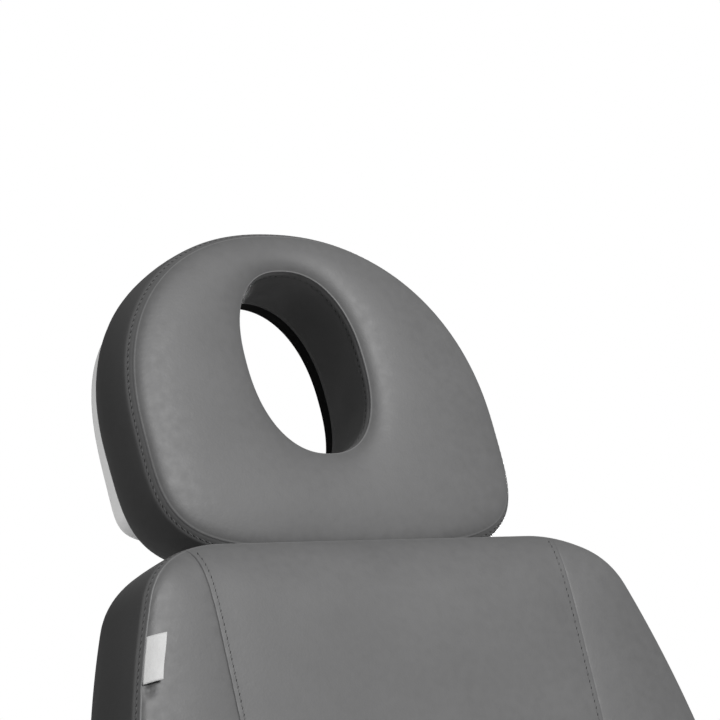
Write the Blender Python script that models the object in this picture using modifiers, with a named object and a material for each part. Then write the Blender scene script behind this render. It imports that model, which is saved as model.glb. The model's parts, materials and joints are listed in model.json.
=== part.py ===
"""Electric pedicure chair, modelled piece by piece in metres, +Z up, the sitter facing -Y.

The chair stands on the floor at z = 0 with its box centred on the origin. It is drawn at rest: column down,
seat level, backrest and leg rests in the sitting position. Every moving piece hangs from an empty on its axis.
"""

import math

import bmesh
import bpy
from mathutils import Euler, Matrix, Vector

# Clearances
FIT = 0.0003
RUN = 0.0008
COVER_FIT = 0.0005
EYE_FIT = 0.0012

# Base and feet
FOOT_RADIUS = 0.026
FOOT_HEIGHT = 0.020
FOOT_INSET = 0.075
BASE_WIDTH = 0.50
BASE_LENGTH = 0.84
BASE_BEHIND = 0.03
BASE_CORNER = 0.10
BASE_PLATE = 0.010
COVER_WALL = 0.0035
COVER_SKIRT = 0.006
COVER_HEIGHT = 0.078
COVER_EDGE = 0.030
INLET_WIDTH = 0.046
INLET_HEIGHT = 0.030
INLET_FLANGE = 0.003
INLET_DEPTH = 0.020
INLET_RIM = 0.005
INLET_SOCKET = 0.014
INLET_EDGE = 0.001

# Lifting column
COLUMN_WIDTH = 0.18
COLUMN_WALL = 0.005
COLUMN_LENGTH = 0.32
COLUMN_STEP = 0.015
COLUMN_CORNER = 0.016
LIFT_MOTOR = 0.10
LIFT_MOTOR_HEIGHT = 0.055
LIFT_MOTOR_EDGE = 0.006
LIFT_TUBE_RADIUS = 0.023
LIFT_TUBE_WALL = 0.003
LIFT_TUBE_LENGTH = 0.30

# Column head and seat tilt
HEAD_PLATE = 0.010
HEAD_SIDE = 0.20
EAR_SPREAD = 0.050
EAR_THICK = 0.010
EAR_RADIUS = 0.018
TILT_PIN_RADIUS = 0.007
TILT_AXIS_RISE = 0.032
TILT_RANGE = 12.0
TILT_LEVER = 0.115
TILT_DRIVE_X = -0.135
LEVER_THICK = 0.008
PIN_RADIUS = 0.005
FORK_WALL = 0.006
FORK_HEIGHT = 0.024
ROD_RADIUS = 0.010
ROD_SLEEVE = 0.017
TILT_SLEEVE_LENGTH = 0.135
TILT_SLEEVE_START = 0.080
GEARBOX_LENGTH = 0.058
GEARBOX_WIDTH = 0.050
MOTOR_RADIUS = 0.021
MOTOR_LENGTH = 0.085
MOTOR_DROP = 0.043
HOUSING_LIP = 0.003
HOUSING_EDGE = 0.004

# Seat
RAIL_SIDE = 0.040
RAIL_WALL = 0.003
RAIL_SPREAD = 0.220
RAIL_RISE = 0.022
RAIL_NOSE = 0.020
BOARD = 0.015
SEAT_WIDTH = 0.575
SEAT_DEPTH = 0.480
SEAT_FRONT = -0.260
SEAT_CORNER = 0.045
CUSHION = 0.085
CUSHION_EDGE = 0.018
BOARD_INSET = 0.012
CRADLE_DEPTH = 0.140
CRADLE_PLATE = 0.008
CONTROL_BOX = (0.085, 0.135, 0.036)
CONTROL_BOX_AT = (-0.150, -0.155)

# Backrest
BACK_RECLINE = 22.1
BACK_MIN = 12.0
BACK_MAX = 85.0
BACK_HINGE_GAP = 0.050
BACK_FRONT = 0.045
BACK_SHAFT_RADIUS = 0.010
BACK_START = 0.028
BACK_LENGTH = 0.760
BACK_HALF_WIDTH = 0.314
BACK_FOOT_HALF_WIDTH = 0.285
BACK_SIDE_RADIUS = 0.900
BACK_SHOULDER_DROP = 0.387
BACK_SHOULDER_RADIUS = 0.076
BACK_TOP_RADIUS = 0.115
BACK_TOP_FLAT = 0.161
BACK_FOOT_RADIUS = 0.050
BACK_RAIL_SPREAD = 0.190
BACK_RAIL_WIDTH = 0.030
BACK_RAIL_DEPTH = 0.020
BACK_RAIL_BELOW_TOP = 0.060
BACK_RAIL_WALL = 0.0025
BACK_LUG = 0.012
BACK_LUG_RADIUS = 0.018
BACK_CROSS_RISE = 0.075
BACK_COVER_HALF_WIDTH = 0.165
BACK_COVER_START = 0.105
BACK_COVER_BELOW_TOP = 0.030
BACK_COVER_DEPTH = 0.072
BACK_COVER_CORNER = 0.040
BACK_COVER_EDGE = 0.022
BACK_COVER_WALL = 0.003
BACK_LEVER = 0.110
BACK_PIN_PER_RADIAN = 1.13
BACK_DRIVE_X = 0.140
BACK_SLOT_RADIUS = 0.009
BACK_SLOT_RIM = 0.012
BACK_FORK_DEPTH = 0.045
BACK_SLEEVE_START = -0.080
BACK_SLEEVE_END = 0.120
BACK_ROD_LENGTH = 0.190

# Headrest
HEAD_RECLINE = 25.3
HEAD_ABOVE_BACK = 0.152
HEAD_BEHIND_BACK = 0.052
HEAD_HALF_WIDTH = 0.187
HEAD_MIDDLE = -0.027
HEAD_RISE = 0.186
HEAD_DROP = 0.111
HEAD_TOP_POWER = 2.2
HEAD_FOOT_POWER = 4.2
HEAD_CUSHION = 0.0747
HEAD_EDGE = 0.012
HOLE_HALF_WIDTH = 0.063
HOLE_HALF_HEIGHT = 0.089
HOLE_MIDDLE = 0.035
HOLE_POWER = 2.3
HOLE_STEP = 0.007
HEAD_BOARD_INSET = 0.022
HEAD_BOARD_TOP_INSET = 0.012
HEAD_BOARD_FOOT_INSET = 0.014
HEAD_BOARD_FOOT_POWER = 3.2
HEAD_COVER_INSET = 0.0075
HEAD_COVER_DROP = 0.068
HEAD_COVER_POWER = 10.0
HEAD_COVER_DEPTH = 0.014
HEAD_COVER_WALL = 0.003
HEAD_COVER_EDGE = 0.004
COVER_HOLE_SIDE = 0.017
COVER_HOLE_RISE = 0.0145
HEAD_AXIS_UP = -0.117
HEAD_AXIS_BACK = 0.104
HEAD_BRACKET_WIDTH = 0.200
HEAD_BRACKET_PLATE = 0.004
HEAD_EAR_SPREAD = 0.035
HEAD_EAR_RADIUS = 0.013
HEAD_ROD_RADIUS = 0.007
HEAD_ROD_SPREAD = 0.070
HEAD_ROD_BEND = 0.018
HEAD_ROD_LENGTH = 0.230
SOCKET_WIDTH = 0.200
SOCKET_LENGTH = 0.095
SOCKET_BELOW_TOP = 0.045
SOCKET_RIM = 0.0065
SOCKET_EDGE = 0.003
KNOB_RADIUS = 0.020
KNOB_LENGTH = 0.020
KNOB_EDGE = 0.002
KNOB_LOBES = 5
KNOB_LOBE_SHARE = 0.38
STEM_RADIUS = 0.004

# Leg rests
LEG_DROP_ANGLE = 35.0
LEG_HINGE_BEHIND = 0.010
LEG_SHAFT_RADIUS = 0.008
LEG_BARREL_RADIUS = 0.014
LEG_BARREL_START = 0.035
LEG_BARREL_END = 0.190
LEG_TUBE = 0.025
LEG_TUBE_WALL = 0.002
LEG_TUBE_INNER_X = 0.055
LEG_TUBE_OUTER_X = 0.165
LEG_TUBE_RISE = 0.005
LEG_TUBE_LENGTH = 0.300
LEG_SLIDER_START = 0.100
LEG_SLIDER_END = 0.400
LEG_SLIDER_BAR = 0.015
LEG_SLIDER_EDGE = 0.002
LEG_PAD_START = 0.022
LEG_PAD_END = 0.450
LEG_PAD_GAP = 0.024
LEG_PAD_THICK = 0.075
LEG_PAD_CORNER = 0.050
LEG_KNOB_AT = 0.270
LEG_KNOB_RADIUS = 0.018
LEG_KNOB_LENGTH = 0.018
LEG_KNOB_GAP = 0.004

# Armrests
ARM_GAP = 0.014
ARM_PAD_WIDTH = 0.075
ARM_PAD_LENGTH = 0.350
ARM_PAD_THICK = 0.048
ARM_PAD_EDGE = 0.014
ARM_PAD_CORNER = 0.030
ARM_OVERHANG = 0.030
ARM_PIVOT_ABOVE_SEAT = 0.145
ARM_POST = 0.030
ARM_POST_EDGE = 0.003
ARM_POST_Y = 0.130
ARM_PIN_RADIUS = 0.007
ARM_LUG = 0.010
ARM_LUG_RADIUS = 0.014
ARM_BAR = 0.008
ARM_BAR_EDGE = 0.002
ARM_BAR_RISE = 0.0235
ARM_BAR_REACH = 0.300
ARM_BAR_TAIL = 0.020

# Handset on the sitter's right
HANDSET_SIZE = (0.024, 0.054, 0.145)
HANDSET_Y = -0.105
HANDSET_CLEAR = 0.0075
HANDSET_EDGE = 0.003
HOLDER_WALL = 0.004
HOLDER_HEIGHT = 0.045
HOLDER_TAB = 0.006
HOLDER_EDGE = 0.0015
KEYS = ("lift", "back", "tilt")
KEY_WIDTH = 0.036
KEY_HEIGHT = 0.022
KEY_THICK = 0.0050
KEY_PROUD = 0.0015
KEY_PITCH = 0.030
KEY_TOP = 0.026
KEY_SIDE_GAP = 0.0006
KEY_BACK_GAP = 0.0012
KEY_EDGE = 0.0008

# Meshing
ROUND_STEPS = 16
FOOT_STEPS = 24
HOLE_STEPS = 28
OVAL_STEPS = 40
QUARTER = math.pi / 2
SHARP_ANGLE = 35.0
WELD = 0.00001
TINY = 1e-12
MARKER_SIZE = 0.05

# Heights that follow from the stack of pieces
BASE_TOP = FOOT_HEIGHT + FIT + BASE_PLATE
COLUMN_FOOT = BASE_TOP + FIT
COLUMN_TOP = COLUMN_FOOT + 2 * COLUMN_STEP + COLUMN_LENGTH
HEAD_BOTTOM = COLUMN_TOP + FIT
HEAD_TOP = HEAD_BOTTOM + HEAD_PLATE
TILT_Z = HEAD_TOP + TILT_AXIS_RISE
RAIL_BOTTOM = TILT_Z + RAIL_RISE
RAIL_Z = RAIL_BOTTOM + RAIL_SIDE / 2
RAIL_TOP = RAIL_BOTTOM + RAIL_SIDE
BOARD_BOTTOM = RAIL_TOP + FIT
SEAT_BOTTOM = BOARD_BOTTOM + BOARD + FIT
SEAT_TOP = SEAT_BOTTOM + CUSHION
SEAT_REAR = SEAT_FRONT + SEAT_DEPTH
BACK_HINGE_Y = SEAT_REAR + BACK_HINGE_GAP
BACK_HINGE_Z = SEAT_TOP - BACK_FRONT
BACK_BOARD_AT = CUSHION - BACK_FRONT + FIT
BACK_FRAME_AT = BACK_BOARD_AT + BOARD + FIT
BACK_MIDDLE = (BACK_MIN + BACK_MAX) / 2
BACK_RAIL_TOP = BACK_LENGTH - BACK_RAIL_BELOW_TOP
BACK_COVER_END = BACK_LENGTH - BACK_COVER_BELOW_TOP
SOCKET_END = BACK_LENGTH - SOCKET_BELOW_TOP
SOCKET_START = SOCKET_END - SOCKET_LENGTH
LEG_HINGE_Y = SEAT_FRONT + LEG_HINGE_BEHIND
HEAD_TURN = HEAD_RECLINE - BACK_RECLINE
HEAD_CENTRE_BACK = HEAD_BEHIND_BACK - BACK_FRONT
HEAD_CENTRE_UP = BACK_LENGTH + HEAD_ABOVE_BACK
HEAD_BOARD_AT = HEAD_CUSHION + FIT
HEAD_COVER_AT = HEAD_BOARD_AT + BOARD + FIT

PLANES = {
    "floor": Euler((0.0, 0.0, 0.0)),
    "face": Euler((QUARTER, 0.0, 0.0)),
    "side": Euler((QUARTER, 0.0, QUARTER)),
}
AXES = {
    "x": Euler((0.0, QUARTER, 0.0)),
    "y": Euler((QUARTER, 0.0, 0.0)),
    "z": Euler((0.0, 0.0, 0.0)),
}
FINISHES = {
    "leather": ((0.18, 0.18, 0.18), 0.55, 0.0),
    "white_paint": ((0.78, 0.78, 0.77), 0.35, 0.0),
    "white_plastic": ((0.80, 0.80, 0.79), 0.40, 0.0),
    "plywood": ((0.05, 0.045, 0.04), 0.70, 0.0),
    "black_plastic": ((0.03, 0.03, 0.03), 0.50, 0.0),
    "grey_plastic": ((0.25, 0.25, 0.26), 0.45, 0.0),
    "steel": ((0.56, 0.57, 0.58), 0.28, 1.0),
    "aluminium": ((0.66, 0.67, 0.68), 0.35, 1.0),
    "rubber": ((0.02, 0.02, 0.02), 0.85, 0.0),
}

for old in list(bpy.data.objects):
    bpy.data.objects.remove(old, do_unlink=True)
CHAIR = bpy.data.collections.new("pedicure_chair")
bpy.context.scene.collection.children.link(CHAIR)


def make_finish(name, colour, roughness, metallic):
    """Return a Principled material of one colour."""
    material = bpy.data.materials.new(name)
    material.use_nodes = True
    shader = material.node_tree.nodes["Principled BSDF"]
    shader.inputs["Base Color"].default_value = (*colour, 1.0)
    shader.inputs["Roughness"].default_value = roughness
    shader.inputs["Metallic"].default_value = metallic
    return material


MATERIALS = {name: make_finish(name, *values) for name, values in FINISHES.items()}


def axis_marker(name, parent, place, turn=0.0):
    """Return an empty on a joint axis, turned about X by a number of degrees."""
    marker = bpy.data.objects.new(name, None)
    marker.empty_display_size = MARKER_SIZE
    CHAIR.objects.link(marker)
    marker.parent = parent
    marker.location = place
    marker.rotation_euler = (math.radians(turn), 0.0, 0.0)
    return marker


def add_solid(name, mesh, parent, place, finish):
    """Link a mesh as a named piece under a parent."""
    piece = bpy.data.objects.new(name, mesh)
    CHAIR.objects.link(piece)
    piece.parent = parent
    piece.location = place
    mesh.materials.clear()
    mesh.materials.append(MATERIALS[finish])
    mesh.shade_smooth()
    mesh.set_sharp_from_angle(angle=math.radians(SHARP_ANGLE))
    return piece


def evaluated_mesh(piece):
    """Return the mesh of an object as the viewport shows it, with its caps welded."""
    bpy.context.view_layer.update()
    graph = bpy.context.evaluated_depsgraph_get()
    mesh = bpy.data.meshes.new_from_object(piece.evaluated_get(graph))
    work = bmesh.new()
    work.from_mesh(mesh)
    bmesh.ops.remove_doubles(work, verts=work.verts, dist=WELD)
    work.to_mesh(mesh)
    work.free()
    return mesh


def mesh_from_curve(curve, turn):
    """Turn a curve into a closed mesh and rotate it."""
    holder = bpy.data.objects.new(curve.name, curve)
    CHAIR.objects.link(holder)
    mesh = evaluated_mesh(holder)
    bpy.data.objects.remove(holder)
    mesh.transform(turn.to_matrix().to_4x4())
    return mesh


def slab(name, plane, outlines, thickness, parent, place, finish, edge=0.0, rings=2):
    """Extrude outlines, the first the rim and the others holes, about their middle plane, edges rounded."""
    curve = bpy.data.curves.new(name, "CURVE")
    curve.dimensions = "2D"
    curve.fill_mode = "BOTH"
    curve.extrude = thickness / 2 - edge
    curve.bevel_depth = edge
    curve.bevel_resolution = rings
    curve.offset = -edge
    for points in outlines:
        spline = curve.splines.new("POLY")
        spline.points.add(len(points) - 1)
        spline.use_cyclic_u = True
        spline.points.foreach_set("co", [value for x, y in points for value in (x, y, 0.0, 1.0)])
    return add_solid(name, mesh_from_curve(curve, PLANES[plane]), parent, place, finish)


def bent_rod(name, points, radius, parent, place, finish):
    """Carry a round section along a chain of points, with filled ends."""
    curve = bpy.data.curves.new(name, "CURVE")
    curve.dimensions = "3D"
    curve.bevel_depth = radius
    curve.bevel_resolution = 3
    curve.use_fill_caps = True
    spline = curve.splines.new("POLY")
    spline.points.add(len(points) - 1)
    spline.points.foreach_set("co", [value for point in points for value in (*point, 1.0)])
    return add_solid(name, mesh_from_curve(curve, PLANES["floor"]), parent, place, finish)


def block(name, low, high, parent, finish, edge=0.0):
    """Make a box between two corners of the parent's frame, with bevelled edges."""
    low, high = Vector(low), Vector(high)
    work = bmesh.new()
    bmesh.ops.create_cube(work, size=1.0, matrix=Matrix.Diagonal((*(high - low), 1.0)))
    mesh = bpy.data.meshes.new(name)
    work.to_mesh(mesh)
    work.free()
    piece = add_solid(name, mesh, parent, (low + high) / 2, finish)
    if edge:
        bevel = piece.modifiers.new("edges", "BEVEL")
        bevel.width = edge
        bevel.segments = 2
    return piece


def rod(name, axis, radius, start, end, parent, place, finish, steps=ROUND_STEPS):
    """Make a cylinder along one axis from start to end, through a place in the parent's frame."""
    work = bmesh.new()
    bmesh.ops.create_cone(
        work, cap_ends=True, segments=steps, radius1=radius, radius2=radius, depth=abs(end - start)
    )
    mesh = bpy.data.meshes.new(name)
    work.to_mesh(mesh)
    work.free()
    mesh.transform(AXES[axis].to_matrix().to_4x4())
    middle = Vector(place)
    middle["xyz".index(axis)] += (start + end) / 2
    return add_solid(name, mesh, parent, middle, finish)


def combine(piece, operation, tools):
    """Join other solids to a piece, or cut them out of it, and remove them."""
    for tool in tools:
        change = piece.modifiers.new("shape", "BOOLEAN")
        change.operation = operation
        change.object = tool
        mesh = evaluated_mesh(piece)
        piece.modifiers.clear()
        finish = piece.data.materials[0]
        piece.data = mesh
        mesh.materials.clear()
        mesh.materials.append(finish)
        bpy.data.objects.remove(tool)
    return piece


def join(piece, *tools):
    """Weld solids onto a piece."""
    return combine(piece, "UNION", tools)


def cut(piece, *tools):
    """Cut solids out of a piece."""
    return combine(piece, "DIFFERENCE", tools)


def arc(centre, radius, start, end, steps):
    """Return points on an arc, angles in radians."""
    turns = [start + (end - start) * i / steps for i in range(steps + 1)]
    return [(centre[0] + radius * math.cos(t), centre[1] + radius * math.sin(t)) for t in turns]


def circle(centre, radius, steps=ROUND_STEPS):
    """Return points around a full circle."""
    return arc(centre, radius, 0.0, 2 * math.pi, steps)[:-1]


def rounded_rectangle(width, height, radius, middle=(0.0, 0.0), steps=4):
    """Return a rectangle with round corners about its middle."""
    points = []
    across, up = width / 2 - radius, height / 2 - radius
    for corner, (sx, sy) in enumerate(((1, 1), (-1, 1), (-1, -1), (1, -1))):
        centre = (middle[0] + sx * across, middle[1] + sy * up)
        points += arc(centre, radius, corner * QUARTER, (corner + 1) * QUARTER, steps)
    return points


def wrapped(circles):
    """Return the outline of a band stretched round circles given as (x, y, radius)."""
    cloud = sorted({point for x, y, radius in circles for point in circle((x, y), radius)})

    def half(points):
        chain = []
        for point in points:
            while len(chain) > 1:
                (ax, ay), (bx, by) = chain[-2:]
                if (bx - ax) * (point[1] - ay) - (by - ay) * (point[0] - ax) > TINY:
                    break
                chain.pop()
            chain.append(point)
        return chain[:-1]

    return half(cloud) + half(cloud[::-1])


def oval(half_width, rise, drop, middle, top_power, foot_power, steps=OVAL_STEPS):
    """Return a superellipse outline whose upper and lower halves have their own height and power."""
    points = []
    for i in range(steps):
        turn = 2 * math.pi * i / steps
        across, up = math.cos(turn), math.sin(turn)
        height, power = (rise, top_power) if up >= 0 else (drop, foot_power)
        x = half_width * math.copysign(abs(across) ** (2 / power), across)
        points.append((x, middle + height * math.copysign(abs(up) ** (2 / power), up)))
    return points


def back_outline(inset):
    """Return the backrest's outline from its hinge: foot corners, long side arcs, tight shoulders, a curved top."""
    foot = BACK_START + inset
    corner = BACK_FOOT_RADIUS - inset
    foot_centre = (BACK_FOOT_HALF_WIDTH - BACK_FOOT_RADIUS, foot + corner)
    side = Vector((BACK_HALF_WIDTH - BACK_SIDE_RADIUS, BACK_LENGTH - BACK_SHOULDER_DROP))
    crest = Vector((BACK_TOP_FLAT, BACK_LENGTH - BACK_TOP_RADIUS))
    far = BACK_SIDE_RADIUS - BACK_SHOULDER_RADIUS
    near = BACK_TOP_RADIUS - BACK_SHOULDER_RADIUS
    between = crest - side
    reach = (far**2 - near**2 + between.length_squared) / (2 * between.length)
    step = between.normalized()
    shoulder = side + step * reach + Vector((-step.y, step.x)) * math.sqrt(far**2 - reach**2)
    lean = math.atan2(shoulder.y - side.y, shoulder.x - side.x)
    turn = math.atan2(shoulder.y - crest.y, shoulder.x - crest.x)
    right = arc(foot_centre, corner, -QUARTER, 0.0, 4)
    right += arc(side, BACK_SIDE_RADIUS - inset, 0.0, lean, 6)
    right += arc(shoulder, BACK_SHOULDER_RADIUS - inset, lean, turn, 4)[1:]
    right += arc(crest, BACK_TOP_RADIUS - inset, turn, QUARTER, 4)[1:]
    return right + [(-x, y) for x, y in reversed(right)]


def head_outline(inset, drop=HEAD_DROP, foot_power=HEAD_FOOT_POWER):
    """Return the headrest's outline, drawn in by an inset."""
    half_width, rise = HEAD_HALF_WIDTH - inset, HEAD_RISE - inset
    return oval(half_width, rise, drop - inset, HEAD_MIDDLE, HEAD_TOP_POWER, foot_power)


def hole_outline(side, rise):
    """Return the face hole's outline, widened to each side and heightened at each end."""
    height = HOLE_HALF_HEIGHT + rise
    return oval(HOLE_HALF_WIDTH + side, height, height, HOLE_MIDDLE, HOLE_POWER, HOLE_POWER, HOLE_STEPS)


def rod_with_fork(name, parent, place, shank, reach, towards):
    """Make an actuator rod with a fork and a pin for a lever; towards is the way the shank runs in Y."""
    x, y, z = place
    half_slot = LEVER_THICK / 2 + RUN
    half = half_slot + FORK_WALL
    nose = FORK_HEIGHT / 2
    root = y + towards * (reach + nose)
    ends = sorted((y - towards * nose, root))
    piece = block(name, (x - half, ends[0], z - nose), (x + half, ends[1], z + nose), parent, "steel")
    slot_ends = sorted((y - towards * 2 * nose, y + towards * reach))
    low = (x - half_slot, slot_ends[0], z - 2 * nose)
    high = (x + half_slot, slot_ends[1], z + 2 * nose)
    cut(piece, block("slot", low, high, parent, "steel"))
    pin = rod("pin", "x", PIN_RADIUS, -half - RUN, half + RUN, parent, (x, y, z), "steel")
    shaft_ends = (root - towards * FORK_WALL, root + towards * shank)
    shaft = rod("shaft", "y", ROD_RADIUS, *shaft_ends, parent, (x, 0, z), "steel")
    return join(piece, pin, shaft)


def actuator(name, parent, x, z, sleeve, gearbox, gearbox_height, motor_towards):
    """Make an actuator housing along Y: a sleeve for the rod, a gearbox block and a motor below it."""
    half = GEARBOX_WIDTH / 2
    body = block(
        name,
        (x - half, gearbox[0], z - MOTOR_DROP - MOTOR_RADIUS),
        (x + half, gearbox[1], gearbox_height),
        parent,
        "black_plastic",
        edge=HOUSING_EDGE,
    )
    inside = sum(gearbox) / 2
    mouth = sleeve[0] if abs(sleeve[0] - inside) > abs(sleeve[1] - inside) else sleeve[1]
    tube = rod("sleeve", "y", ROD_SLEEVE, inside, mouth, parent, (x, 0, z), "aluminium")
    face = gearbox[1] if motor_towards > 0 else gearbox[0]
    motor_end = face + motor_towards * MOTOR_LENGTH
    motor = rod("motor", "y", MOTOR_RADIUS, inside, motor_end, parent, (x, 0, z - MOTOR_DROP), "steel")
    join(body, tube, motor)
    bore = rod("bore", "y", ROD_RADIUS + RUN / 2, face, mouth + (mouth - inside), parent, (x, 0, z), "steel")
    return cut(body, bore)


def build_base(root):
    """Base plate, moulded cover, four feet and the mains inlet."""
    middle = (0.0, BASE_BEHIND)
    plate = rounded_rectangle(BASE_WIDTH, BASE_LENGTH, BASE_CORNER, steps=6)
    place = (*middle, BASE_TOP - BASE_PLATE / 2)
    slab("base_plate", "floor", [plate], BASE_PLATE, root, place, "white_paint")
    for end, sy in (("front", -1), ("rear", 1)):
        for side, sx in (("left", 1), ("right", -1)):
            x = sx * (BASE_WIDTH / 2 - FOOT_INSET)
            place = (x, BASE_BEHIND + sy * (BASE_LENGTH / 2 - FOOT_INSET), 0.0)
            rod(f"foot_{end}_{side}", "z", FOOT_RADIUS, 0.0, FOOT_HEIGHT, root, place, "rubber", FOOT_STEPS)
    skirt = BASE_TOP - COVER_SKIRT
    shells = []
    for name, grow, wall in (("base_cover", COVER_FIT + COVER_WALL, 0.0), ("hollow", COVER_FIT, COVER_WALL)):
        rim = rounded_rectangle(BASE_WIDTH + 2 * grow, BASE_LENGTH + 2 * grow, BASE_CORNER + grow, steps=6)
        height = 2 * (COVER_HEIGHT - wall)
        place = (*middle, skirt)
        shells.append(slab(name, "floor", [rim], height, root, place, "white_plastic", COVER_EDGE - wall))
    cover, hollow = shells
    reach = BASE_LENGTH
    below = block("below", (-reach, -reach, skirt - reach), (reach, reach, skirt), root, "steel")
    opening = COLUMN_WIDTH / 2 + RUN
    way = block("way", (-opening, -opening, skirt), (opening, opening, skirt + reach), root, "steel")
    wall_y = BASE_BEHIND + BASE_LENGTH / 2 + COVER_FIT + COVER_WALL
    half, inlet_z = INLET_WIDTH / 2 - INLET_RIM, skirt + COVER_HEIGHT - COVER_EDGE - INLET_HEIGHT / 2
    low = inlet_z - INLET_HEIGHT / 2 + INLET_RIM
    high = inlet_z + INLET_HEIGHT / 2 - INLET_RIM
    slot_low = (-half - FIT, wall_y - INLET_DEPTH, low - FIT)
    slot_high = (half + FIT, wall_y + reach, high + FIT)
    slot = block("slot", slot_low, slot_high, root, "steel")
    cut(cover, hollow, below, way, slot)
    face = wall_y + FIT
    inlet = block(
        "mains_inlet",
        (-INLET_WIDTH / 2, face, inlet_z - INLET_HEIGHT / 2),
        (INLET_WIDTH / 2, face + INLET_FLANGE, inlet_z + INLET_HEIGHT / 2),
        root,
        "black_plastic",
        edge=INLET_EDGE,
    )
    body_high = (half, face + INLET_FLANGE / 2, high)
    body = block("body", (-half, face - INLET_DEPTH, low), body_high, root, "steel")
    wall = INLET_RIM / 2
    socket = block(
        "socket",
        (-half + wall, face + INLET_FLANGE - INLET_SOCKET, low + wall),
        (half - wall, face + reach, high - wall),
        root,
        "steel",
    )
    cut(join(inlet, body), socket)


def column_stage(name, parent, order):
    """Make one of the nested square tubes, counted from the outside."""
    side = COLUMN_WIDTH - 2 * order * (COLUMN_WALL + RUN)
    corner = COLUMN_CORNER - order * (COLUMN_WALL / 2)
    outer = rounded_rectangle(side, side, corner)
    inner = rounded_rectangle(side - 2 * COLUMN_WALL, side - 2 * COLUMN_WALL, corner - COLUMN_WALL / 2)
    place = (0.0, 0.0, COLUMN_FOOT + order * COLUMN_STEP + COLUMN_LENGTH / 2)
    slab(name, "floor", [outer, inner], COLUMN_LENGTH, parent, place, "white_paint")


def build_column(root, middle, top):
    """Three-stage lifting column with the telescopic spindle inside it."""
    column_stage("column_outer", root, 0)
    column_stage("column_middle", middle, 1)
    column_stage("column_inner", top, 2)
    half = LIFT_MOTOR / 2
    drive = block(
        "lift_actuator",
        (-half, -half, COLUMN_FOOT),
        (half, half, COLUMN_FOOT + LIFT_MOTOR_HEIGHT),
        root,
        "black_plastic",
        edge=LIFT_MOTOR_EDGE,
    )
    foot = COLUMN_FOOT + LIFT_MOTOR_HEIGHT / 2
    end = COLUMN_FOOT + LIFT_TUBE_LENGTH
    tube = rod("tube", "z", LIFT_TUBE_RADIUS, foot, end, root, (0, 0, 0), "steel")
    join(drive, tube)
    bore_radius = LIFT_TUBE_RADIUS - LIFT_TUBE_WALL
    floor = COLUMN_FOOT + LIFT_MOTOR_HEIGHT
    cut(drive, rod("bore", "z", bore_radius, floor, 2 * end, root, (0, 0, 0), "steel"))
    spindle = bore_radius - FIT
    spindle_bore = spindle - LIFT_TUBE_WALL
    slab(
        "lift_spindle_middle",
        "floor",
        [circle((0, 0), spindle), circle((0, 0), spindle_bore)],
        end - floor,
        middle,
        (0.0, 0.0, (floor + end) / 2 + COLUMN_STEP),
        "steel",
    )
    start = floor + 2 * COLUMN_STEP
    rod("lift_spindle_inner", "z", spindle_bore - FIT, start, HEAD_BOTTOM - FIT, top, (0, 0, 0), "steel")


def build_column_head(top):
    """Plate on the column with the tilt ears, their stub pins and the arm that holds the tilt actuator."""
    half = HEAD_SIDE / 2
    arm_end = TILT_SLEEVE_START + TILT_SLEEVE_LENGTH + GEARBOX_LENGTH + FIT + HEAD_PLATE
    arm_left = TILT_DRIVE_X - GEARBOX_WIDTH / 2
    arm_right = TILT_DRIVE_X + GEARBOX_WIDTH / 2
    inner = -EAR_SPREAD
    outline = [
        (-half, -half),
        (half, -half),
        (half, half),
        (inner, half),
        (arm_right, arm_end - HEAD_SIDE / 4),
        (arm_right, arm_end),
        (arm_left, arm_end),
        (arm_left, half),
        (-half, 0.0),
    ]
    place = (0.0, 0.0, HEAD_BOTTOM + HEAD_PLATE / 2)
    head = slab("column_head", "floor", [outline], HEAD_PLATE, top, place, "white_paint")
    drive_z = TILT_Z - TILT_LEVER
    hanger = block(
        "hanger",
        (arm_left, arm_end - HEAD_PLATE, drive_z - MOTOR_DROP),
        (arm_right, arm_end, HEAD_TOP - HEAD_PLATE / 2),
        top,
        "steel",
    )
    tools = [hanger]
    for sx in (-1, 1):
        foot = HEAD_TOP - TILT_Z - HEAD_PLATE / 2
        shape = wrapped([(0.0, 0.0, EAR_RADIUS), (-EAR_RADIUS, foot, RUN), (EAR_RADIUS, foot, RUN)])
        tools.append(slab("ear", "side", [shape], EAR_THICK, top, (sx * EAR_SPREAD, 0.0, TILT_Z), "steel"))
        reach = 2 * EAR_THICK
        ends = sorted((sx * EAR_SPREAD, sx * (EAR_SPREAD + reach)))
        tools.append(rod("stub", "x", TILT_PIN_RADIUS, *ends, top, (0.0, 0.0, TILT_Z), "steel"))
    join(head, *tools)


def build_tilt_drive(top, rod_axis):
    """Actuator under the column head that swings the seat cradle's lever."""
    z = TILT_Z - TILT_LEVER
    pin_y = TILT_LEVER * math.tan(math.radians(TILT_RANGE / 2))
    mouth = TILT_SLEEVE_START
    gearbox = (mouth + TILT_SLEEVE_LENGTH, mouth + TILT_SLEEVE_LENGTH + GEARBOX_LENGTH)
    lid = z + ROD_SLEEVE + HOUSING_LIP
    actuator("tilt_actuator", top, TILT_DRIVE_X, z, (mouth, gearbox[0]), gearbox, lid, -1)
    reach = FORK_HEIGHT
    shank = TILT_SLEEVE_LENGTH / 2 + TILT_SLEEVE_START - pin_y - reach
    rod_with_fork("tilt_rod", rod_axis, (TILT_DRIVE_X, pin_y, z), shank, reach, 1)


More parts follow.
